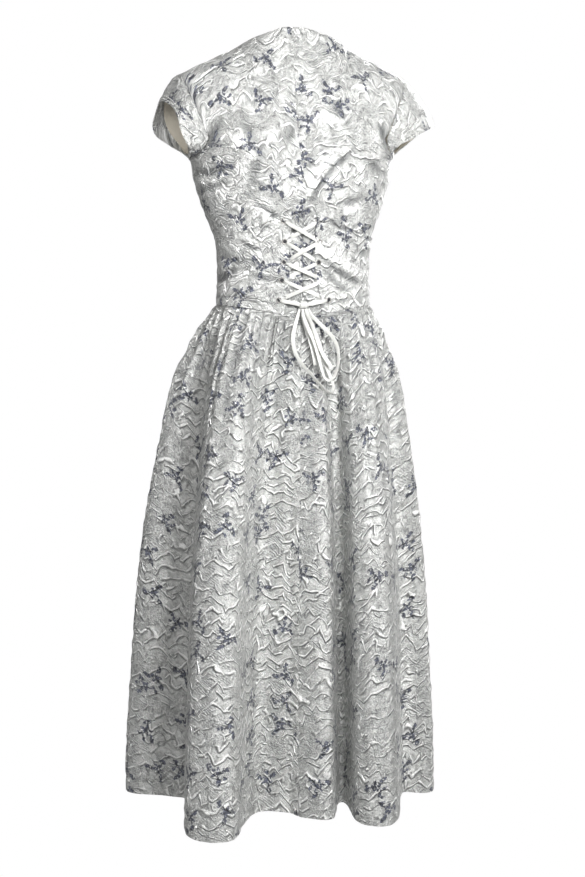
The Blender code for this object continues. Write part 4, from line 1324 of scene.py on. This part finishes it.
class DRESS_OT_stage(bpy.types.Operator):
    """Camera, lights, world and floor"""

    bl_idname = "dress.stage"
    bl_label = "Stage"

    def execute(self, context):
        scene, studio = context.scene, context.scene.dress_studio
        beside = Vector((math.sin(math.pi - studio.turn), -math.cos(studio.turn), 0.0))
        camera_data = bpy.data.cameras.new("camera")
        camera_data.sensor_width = 36.0
        camera_data.lens = studio.lens
        camera = bpy.data.objects.new("camera", camera_data)
        scene.collection.objects.link(camera)
        camera.location = beside * studio.distance + Vector((0.0, 0.0, studio.height))
        look = -beside * math.cos(studio.tilt) - Vector((0.0, 0.0, math.sin(studio.tilt)))
        camera.rotation_euler = look.to_track_quat("-Z", "Y").to_euler()
        scene.camera = camera
        scene.view_settings.view_transform = "Standard"

        right = Vector((-beside.y, beside.x, 0.0))
        aim = Vector((0.0, 0.0, LIGHTS_AIM))
        for name, towards, sideways, up, size, power, spread in LIGHTS:
            data = bpy.data.lights.new(name, "AREA")
            data.size = size
            data.energy = power
            data.spread = math.radians(spread)
            light = bpy.data.objects.new(name, data)
            scene.collection.objects.link(light)
            light.location = beside * towards + right * sideways + Vector((0.0, 0.0, up))
            light.rotation_euler = (aim - light.location).to_track_quat("-Z", "Y").to_euler()

        scene.world = self.world()
        self.floor(context)
        return {"FINISHED"}

    def world(self):
        """White to the camera, and to the dress a soft glow, brighter from the sides than from above."""
        world = bpy.data.worlds.new("studio")
        world.use_nodes = True
        tree = world.node_tree
        backdrop = tree.nodes["Background"]
        seen = put(tree, "ShaderNodeLightPath", "Is Camera Ray", {})
        level = axis(tree, put(tree, "ShaderNodeTexCoord", "Generated", {}), "Z")
        glow = WORLD_GLOW + (1.0 - abs(level - 0.15) / 0.7).step(0.0, 1.0) * WORLD_GLOW_AT_SIDES
        plug(tree, backdrop.inputs["Strength"], glow * (1.0 - seen) + seen * 1.0)
        backdrop.inputs["Color"].default_value = (1.0, 1.0, 1.0, 1.0)
        return world

    def floor(self, context):
        """A floor that shows white and is grey to the light that it throws back."""
        bpy.ops.object.select_all(action="DESELECT")
        bpy.ops.mesh.primitive_circle_add(
            vertices=96, radius=FLOOR_RADIUS, fill_type="NGON", location=(0.0, 0.0, FLOOR_HEIGHT)
        )
        floor = context.object
        floor.name = "floor"
        finish, tree, shader = new_finish("floor")
        uneven = put(tree, "ShaderNodeTexNoise", "Fac", {"Vector": object_place(tree), "Scale": 3.0})
        shader.inputs["Roughness"].default_value = 0.9
        colour = context.scene.dress_colours.floor
        grey = tuple(part * 0.35 for part in colour)
        plug(tree, shader.inputs["Base Color"], mix_colour(tree, uneven * 0.2, grey, colour))
        plain = put(tree, "ShaderNodeEmission", 0, {"Color": (1.0, 1.0, 1.0, 1.0), "Strength": 1.0})
        seen = put(tree, "ShaderNodeLightPath", "Is Camera Ray", {})
        lit = Value(tree, shader.outputs[0])
        both = put(tree, "ShaderNodeMixShader", 0, {0: seen, 1: lit, 2: plain})
        tree.links.new(both.socket, tree.nodes["Material Output"].inputs["Surface"])
        floor.data.materials.append(finish)


class DRESS_OT_free_laces(bpy.types.Operator):
    """The bow's loops and tails"""

    bl_idname = "dress.free_laces"
    bl_label = "Bow loops and tails"

    def execute(self, context):
        sizes = context.scene.dress_sizes
        width, thickness = sizes.ribbon / MM, sizes.ribbon_thickness / MM
        out = Vector(BOW_FACING)
        for name, route in LACE_RUNS.items():
            points = [Vector((x, skirt_front_of(x, height) + stand, height)) for x, height, stand in route]
            path = smooth_run(points, 2.0)
            length = lengths_along(path)[-1]
            is_loop = name.startswith("bow")
            facing, widths = [], []
            for index, point in enumerate(path):
                share = index / (len(path) - 1)
                along = way_at(path, index)
                turn = 0.35 * math.sin(2.2 * math.pi * share)
                if is_loop:
                    turn = 0.9 * math.sin(math.pi * share) ** 3
                across = along.cross(out).normalized()
                facing.append((out * math.cos(turn) + across * math.sin(turn)).normalized())
                near_knot = min(share, 1.0 - share) if is_loop else share
                widths.append(width * (0.62 + 0.38 * float(smooth_step(0.0, 0.09, np.array(near_knot)))))
            piece = sweep_ribbon(name, path, facing, widths, thickness, woven_material(context, "ribbon"))
            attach(piece, "root")
            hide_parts(name)
            print(f"{name}: {length:.0f} mm")
        return {"FINISHED"}


class DRESS_OT_lacing(bpy.types.Operator):
    """The crossings over the laced gap, the runs to the knot and the knot"""

    bl_idname = "dress.lacing"
    bl_label = "Lacing"

    def lace(self, context, name, start, goal, stop_x, profile):
        """A ribbon from one place, x and height, towards another, ending at stop_x."""
        sizes = context.scene.dress_sizes
        width, thickness = sizes.ribbon / MM, sizes.ribbon_thickness / MM
        points, facing = lace_between(start, goal, stop_x, profile)
        path, out = refine(points, facing)
        widths, leaned = [], []
        for index, straight in enumerate(out):
            share = index / (len(path) - 1)
            across = way_at(path, index).cross(straight)
            turn = 0.22 * math.sin(2.0 * math.pi * share + start[1])
            leaned.append((straight * math.cos(turn) + across * math.sin(turn)).normalized())
            opened = float(smooth_step(0.0, 0.16, np.array(share)))
            widths.append(width * (0.45 + 0.55 * opened))
        piece = sweep_ribbon(name, path, leaned, widths, thickness, woven_material(context, "ribbon"))
        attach(piece, "root")
        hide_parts(name)

    def knot(self, context):
        """The body of the knot and the ribbon wound round it."""
        sizes = context.scene.dress_sizes
        middle, out = back_surface(0.0, KNOT_HEIGHT)
        middle = middle + out * KNOT_STANDOFF
        bpy.ops.object.select_all(action="DESELECT")
        place = to_metres(middle)
        bpy.ops.mesh.primitive_uv_sphere_add(segments=32, ring_count=20, radius=0.5, location=place)
        body = context.object
        body.name = "bow_knot_body"
        body.scale = [size * MM for size in KNOT_SIZE]
        bpy.ops.object.transform_apply(location=True, rotation=True, scale=True)
        bpy.ops.object.shade_smooth()
        ribbon = woven_material(context, "ribbon")
        body.data.materials.append(ribbon)
        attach(body, "root")
        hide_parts("bow_knot")
        for name, shift, lean, breadth in KNOT_WRAPS:
            path, facing = [], []
            for turn in np.linspace(0.0, 2.0 * math.pi, 49):
                away = Vector((0.0, math.cos(turn), math.sin(turn)))
                beside = Vector((shift + lean * 5.0 * math.sin(turn), 0.0, 0.0))
                path.append(middle + beside + away * KNOT_WRAP_RADIUS)
                facing.append(away)
            widths = [breadth] * len(path)
            wrap = sweep_ribbon(name, path, facing, widths, sizes.ribbon_thickness / MM, ribbon)
            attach(wrap, "root")

    def execute(self, context):
        for number in range(1, len(EYELETS)):
            height, left, right = EYELETS[number - 1]
            next_height, next_left, next_right = EYELETS[number]
            stop_x = float(curve(LACED_EDGE, next_height)[0]) + PAST_EDGE
            left_over = number % 2 == 1
            to_right = ((left, height), (next_right, next_height), -stop_x, OVER if left_over else UNDER)
            to_left = ((right, height), (next_left, next_height), stop_x, UNDER if left_over else OVER)
            self.lace(context, f"lace_cross_left_{number}", *to_right)
            self.lace(context, f"lace_cross_right_{number}", *to_left)
        height, left, right = EYELETS[-1]
        beside_knot = 0.5 * KNOT_SIZE[0] - 2.0
        self.lace(context, "lace_end_left", (left, height), (0.0, KNOT_HEIGHT), beside_knot, TO_KNOT)
        self.lace(context, "lace_end_right", (right, height), (0.0, KNOT_HEIGHT), -beside_knot, TO_KNOT)
        self.knot(context)
        return {"FINISHED"}


class DRESS_OT_eyelets(bpy.types.Operator):
    """The ten metal eyelets and the shade inside them"""

    bl_idname = "dress.eyelets"
    bl_label = "Eyelets"

    def execute(self, context):
        metal = made("eyelet_metal", lambda: metal_finish(tuple(context.scene.dress_colours.metal)))
        hole = made("eyelet_hole", hole_finish)
        for number, (height, left, right) in enumerate(EYELETS, start=1):
            for side, x in (("left", left), ("right", right)):
                point, out = back_surface(x, height)
                rotation = out.to_track_quat("Z", "Y").to_euler()
                bpy.ops.object.select_all(action="DESELECT")
                bpy.ops.mesh.primitive_torus_add(
                    location=to_metres(point + out * EYELET_STANDOFF),
                    rotation=rotation,
                    major_segments=36,
                    minor_segments=14,
                    major_radius=EYELET_RADIUS * MM,
                    minor_radius=EYELET_WIRE * MM,
                )
                ring = context.object
                ring.scale = (1.0, 1.0, EYELET_FLATNESS)
                bpy.ops.object.transform_apply(location=True, rotation=True, scale=True)
                bpy.ops.object.shade_smooth()
                ring.name = f"eyelet_{side}_{number}_ring"
                ring.data.materials.append(metal)
                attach(ring, "root")
                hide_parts(f"eyelet_{side}_{number}")
                bpy.ops.object.select_all(action="DESELECT")
                bpy.ops.mesh.primitive_cylinder_add(
                    vertices=32,
                    radius=HOLE_RADIUS * MM,
                    depth=HOLE_THICKNESS * MM,
                    location=to_metres(point + out * HOLE_STANDOFF),
                    rotation=rotation,
                )
                disc = context.object
                bpy.ops.object.transform_apply(location=True, rotation=True, scale=True)
                disc.name = f"eyelet_hole_{side}_{number}"
                disc.data.materials.append(hole)
                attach(disc, "root")
        return {"FINISHED"}


# Reliefs of the panels.


def back_relief(grid, uv, pucker_depth):
    """Puckers and creases of a bodice back, lying flat under its laced panel, and the shade painted into
    its creases and laced gap, with painted light on their lips.
    """
    x, height = grid[..., 0], grid[..., 2]
    below_top = smooth_step(-6.0, 4.0, corselet_top_height(np.clip(np.abs(x) / 115.0, 0.0, 1.0)) - height)
    beyond_edge = smooth_step(2.0, 12.0, np.abs(x) - curve(LACED_EDGE, height)[..., 0])
    covered = below_top * beyond_edge
    in_gap = below_top * (1.0 - beyond_edge)
    dents = creases(grid, BACK_CREASES)
    relief = pucker(uv) * pucker_depth - 1.8 * dents
    relief = relief - in_gap * 0.8 * np.sin(x * 0.42 + 0.03 * height) ** 2
    relief = relief - sewn(uv, ("first_column",), CENTRE_BACK_SEAM)
    relief = relief - sewn(uv, ("last_column", "last_row"), BODICE_SEAM)
    # Painted shade in the creases and the laced gap, painted light on the creases' lips and raised creases;
    # none under the laced panel.
    fold = (dents * 0.62 + in_gap * 0.35) * (1.0 - covered)
    return relief * (1.0 - covered) - 0.7 * covered, fold


def corselet_relief(grid, uv, pucker_depth):
    """Puckers, creases and sewn lines of a laced panel, whose laced edge lifts a little, and the shade
    painted into its creases, waist line, hem and laced edge, with painted light on raised creases and lips.
    """
    near_edge = edge_distance(uv, ("first_column",))
    above_waist = edge_distance(uv, ("first_row",))
    from_hem = np.minimum(edge_distance(uv, ("last_row",)), near_edge)
    dents = creases(grid, CORSELET_CREASES)
    relief = pucker(uv * 1.1 + 0.37) * pucker_depth - np.where(dents < 0.0, 2.3, 1.35) * dents
    lifted = groove(near_edge, 0.0, 9.0, 1.1) * (0.8 + 0.2 * np.sin(grid[..., 2] * 0.21))
    relief = np.maximum(relief, -1.3) + lifted - groove(above_waist, *CORSELET_WAIST_LINE)
    relief = relief - groove(from_hem, *CORSELET_HEM_LINE)
    relief = relief - sewn(uv, ("last_column",), CORSELET_SIDE_SEAM)
    # Painted shade in the creases, along the sewn waist line and at the hem and laced edge; painted light
    # on raised creases and lips.
    fold = dents * 0.75 + groove(above_waist, CORSELET_WAIST_LINE[0], 2.0, 0.55)
    return relief, fold + groove(from_hem, 0.0, 2.0, 0.3)


def sleeve_relief(uv, even, room, pucker_depth):
    """Puckers and sewn lines of a sleeve, fainter where it is short under the arm."""
    wrap = np.sin(math.pi * even)[None, :]
    relief = pucker(uv) * pucker_depth * 0.8 * np.minimum(wrap * 8.0, 1.0)
    relief = relief - sewn(uv, ("first_row",), ARMHOLE_SEAM)
    for line in SLEEVE_HEM_LINES:
        relief = relief - sewn(uv, ("last_row",), line)
    return relief * np.clip(room / 25.0, 0.2, 1.0)[None, :]


def skirt_relief(uv, pucker_depth):
    """Puckers and sewn lines of a skirt panel, smooth close to the waist."""
    relief = pucker(uv) * pucker_depth * smooth_step(5.0, 60.0, edge_distance(uv, ("first_row",)))
    relief = relief - sewn(uv, ("first_row",), SKIRT_WAIST_SEAM)
    relief = relief - sewn(uv, ("last_row",), SKIRT_HEM_LINE)
    return relief - sewn(uv, ("first_column", "last_column"), SKIRT_SEAM)


class DRESS_OT_bodice(bpy.types.Operator):
    """Bodice front and backs"""

    bl_idname = "dress.bodice"
    bl_label = "Bodice"

    def execute(self, context):
        sizes = context.scene.dress_sizes
        cloth, pucker_depth = sizes.cloth / MM, sizes.pucker / MM
        backs, front, _ = bodice_grids(sizes.cell / MM)
        finish = cloque_material(context, "cloque_bodice")
        for name, side in (("bodice_back_left", 1.0), ("bodice_back_right", -1.0)):
            grid = backs[side]
            uv = arc_lengths(grid)
            relief, fold = back_relief(grid, uv, pucker_depth)
            piece = add_cloth(name, grid, faced_out(grid), relief, uv, cloth, finish, fold)
            declare_cloth(piece, name)
        uv = arc_lengths(front, front.shape[1] // 2)
        relief = pucker(uv) * pucker_depth - creases(front, FRONT_CREASES)
        relief = relief - sewn(uv, ("first_column", "last_column", "last_row"), BODICE_SEAM)
        piece = add_cloth("bodice_front", front, faced_out(front), relief, uv, cloth, finish)
        declare_cloth(piece, "bodice_front")
        return {"FINISHED"}


class DRESS_OT_corselet(bpy.types.Operator):
    """Laced waist panels"""

    bl_idname = "dress.corselet"
    bl_label = "Laced waist panels"

    def execute(self, context):
        sizes = context.scene.dress_sizes
        cell = sizes.cell / MM * 0.85
        finish = cloque_material(context, "cloque_bodice")
        shares = even_shares(CORSELET_WIDTH, cell)
        for name, side in (("corselet_back_left", 1.0), ("corselet_back_right", -1.0)):
            rows = []
            for place in even_shares(CORSELET_ZONE, cell):
                whole = bodice_row(True, side, shares, ("corselet", place))
                start = curve(LACED_EDGE, whole[0, 2])[0] / abs(whole[-1, 0])
                rows.append(bodice_row(True, side, start + (1.0 - start) * shares, ("corselet", place)))
            grid = np.array(rows)
            normals = faced_out(grid)
            uv = arc_lengths(grid)
            relief, fold = corselet_relief(grid, uv, sizes.pucker / MM)
            base = grid + normals * (SEAM_GAP + CLOTH)
            piece = add_cloth(name, base, normals, relief, uv, sizes.cloth / MM * 0.9, finish, fold)
            declare_cloth(piece, name)
        return {"FINISHED"}


class DRESS_OT_sleeves(bpy.types.Operator):
    """Cap sleeves and their linings"""

    bl_idname = "dress.sleeves"
    bl_label = "Cap sleeves"

    def execute(self, context):
        sizes = context.scene.dress_sizes
        cell = sizes.cell / MM
        backs, front, first = bodice_grids(cell)
        finish = cloque_material(context, "cloque_bodice")
        for name, side in (("sleeve_left", 1.0), ("sleeve_right", -1.0)):
            grid, middle, even = sleeve_grid(side, backs[side], front, first, cell)
            normals = ring_normals(grid, middle)
            uv = arc_lengths(grid)
            room = np.linalg.norm(grid[-1] - grid[0], axis=-1)
            relief = sleeve_relief(uv, even, room, sizes.pucker / MM)
            # inside -1.0 paints light into the sleeve's inner face, which lies in shade.
            piece = add_cloth(name, grid, normals, relief, uv, sizes.cloth / MM, finish, inside=-1.0)
            declare_cloth(piece, name)
            self.stitch(context, name, grid + normals * relief[..., None], normals, room > 22.0)
            self.line(context, name, grid, normals, 0.56 if side > 0 else 0.985)
        return {"FINISHED"}

    def stitch(self, context, name, surface, normals, keep):
        """Two rows of stitches round the hem, where the sleeve is long enough."""
        thread = woven_material(context, "thread")
        for label, share in STITCH_ROWS:
            points = [Vector(point) for point in row_between(surface, share)[keep]]
            ways = [Vector(way) for way in normals[int(share * (len(normals) - 1))][keep]]
            length = context.scene.dress_sizes.stitch / MM
            add_stitches(f"{name}_stitches_{label}", points, ways, length, thread)

    def line(self, context, name, grid, normals, reach):
        """The lining inside a sleeve, as far towards its hem as it shows."""
        over_arm = grid[0][:, 2] >= LINING_UNDERARM_END
        shares = np.linspace(0.14, reach, 9)
        rows = np.array([row_between(grid[:, over_arm], share) for share in shares])
        ways = np.array([normals[int(share * (len(grid) - 1)), over_arm] for share in shares])
        inner = rows - ways * (CLOTH + LINING_THICKNESS)
        uv = arc_lengths(inner)
        ease = -0.4 * (0.5 + 0.5 * np.sin(uv[..., 0] * 260.0 + 5.0 * np.sin(uv[..., 0] * 60.0)))
        finish = woven_material(context, "lining_cloth")
        label = name.replace("sleeve", "sleeve_lining")
        piece = add_cloth(label, inner, ways, ease, uv, LINING_THICKNESS, finish)
        declare_cloth(piece, label)


class DRESS_OT_skirt(bpy.types.Operator):
    """Skirt front and backs"""

    bl_idname = "dress.skirt"
    bl_label = "Skirt"

    def execute(self, context):
        sizes = context.scene.dress_sizes
        finish = cloque_material(context, "cloque_skirt")
        for name, first, last, gathers, width, coarseness in SKIRT_PANELS:
            grid, fold = skirt_grid(first, last, gathers, sizes.cell / MM * coarseness, width)
            uv = arc_lengths(grid, grid.shape[1] // 2)
            relief = skirt_relief(uv, sizes.pucker / MM)
            piece = add_cloth(name, grid, faced_out(grid), relief, uv, sizes.cloth / MM, finish, fold)
            declare_cloth(piece, name)
        return {"FINISHED"}


class DRESS_OT_zip(bpy.types.Operator):
    """Zip tape and its teeth behind the centre back seam"""

    bl_idname = "dress.zip"
    bl_label = "Centre back zip"

    def execute(self, context):
        sizes = context.scene.dress_sizes
        backs, _, _ = bodice_grids(sizes.cell / MM)
        left, right = backs[1.0], backs[-1.0]
        normals = faced_out(left)[:, 0]
        rows = slice(3, len(left) - 1)
        reach = 0.089 * float(np.abs(left[0, -1, 0]))
        columns = []
        for share in np.linspace(-1.0, 1.0, 9):
            grid = left if share > 0 else right
            across = grid[:, 0, 0] + share * reach
            columns.append(np.stack([across, grid[:, 0, 1], grid[:, 0, 2]], axis=-1)[rows])
        tape = np.stack(columns, axis=1)
        ways = np.repeat(normals[rows][:, None, :], tape.shape[1], axis=1)
        inner = tape - ways * ZIP_TAPE_DEPTH
        uv = arc_lengths(inner)
        finish = woven_material(context, "zip_tape")
        flat = np.zeros(inner.shape[:2])
        piece = add_cloth("back_zip", inner, ways, flat, uv, ZIP_TAPE_THICKNESS, finish)
        declare_cloth(piece, "back_zip")
        line = [Vector(point) for point in (inner - ways)[:, 4]]
        out = [Vector(way) for way in ways[:, 4]]
        add_teeth("zip_teeth", line, out, sizes.zip_pitch / MM, finish)
        return {"FINISHED"}


class DRESS_PT_panel(bpy.types.Panel):
    """Sizes, colours and steps of the dress"""

    bl_label = "Laced A-Line Dress"
    bl_idname = "DRESS_PT_panel"
    bl_space_type = "VIEW_3D"
    bl_region_type = "UI"
    bl_category = "Dress"

    def draw(self, context):
        layout = self.layout
        for group in (context.scene.dress_sizes, context.scene.dress_colours, context.scene.dress_studio):
            box = layout.box()
            for key in group.bl_rna.properties.keys():
                if key not in ("rna_type", "name"):
                    box.prop(group, key)
        for step in STEPS:
            layout.operator(step.bl_idname)


STEPS = (
    DRESS_OT_stage,
    DRESS_OT_free_laces,
    DRESS_OT_lacing,
    DRESS_OT_eyelets,
    DRESS_OT_bodice,
    DRESS_OT_corselet,
    DRESS_OT_sleeves,
    DRESS_OT_skirt,
    DRESS_OT_zip,
)
CLASSES = (DressSizes, DressColours, StudioSettings, *STEPS, DRESS_PT_panel)


def register():
    for item in CLASSES:
        bpy.utils.register_class(item)
    bpy.types.Scene.dress_sizes = PointerProperty(type=DressSizes)
    bpy.types.Scene.dress_colours = PointerProperty(type=DressColours)
    bpy.types.Scene.dress_studio = PointerProperty(type=StudioSettings)


def unregister():
    del bpy.types.Scene.dress_studio
    del bpy.types.Scene.dress_colours
    del bpy.types.Scene.dress_sizes
    for item in reversed(CLASSES):
        bpy.utils.unregister_class(item)


def main():
    """Makes the whole scene."""
    register()
    for step in STEPS:
        group, name = step.bl_idname.split(".")
        getattr(getattr(bpy.ops, group), name)()


if __name__ == "__main__":
    main()
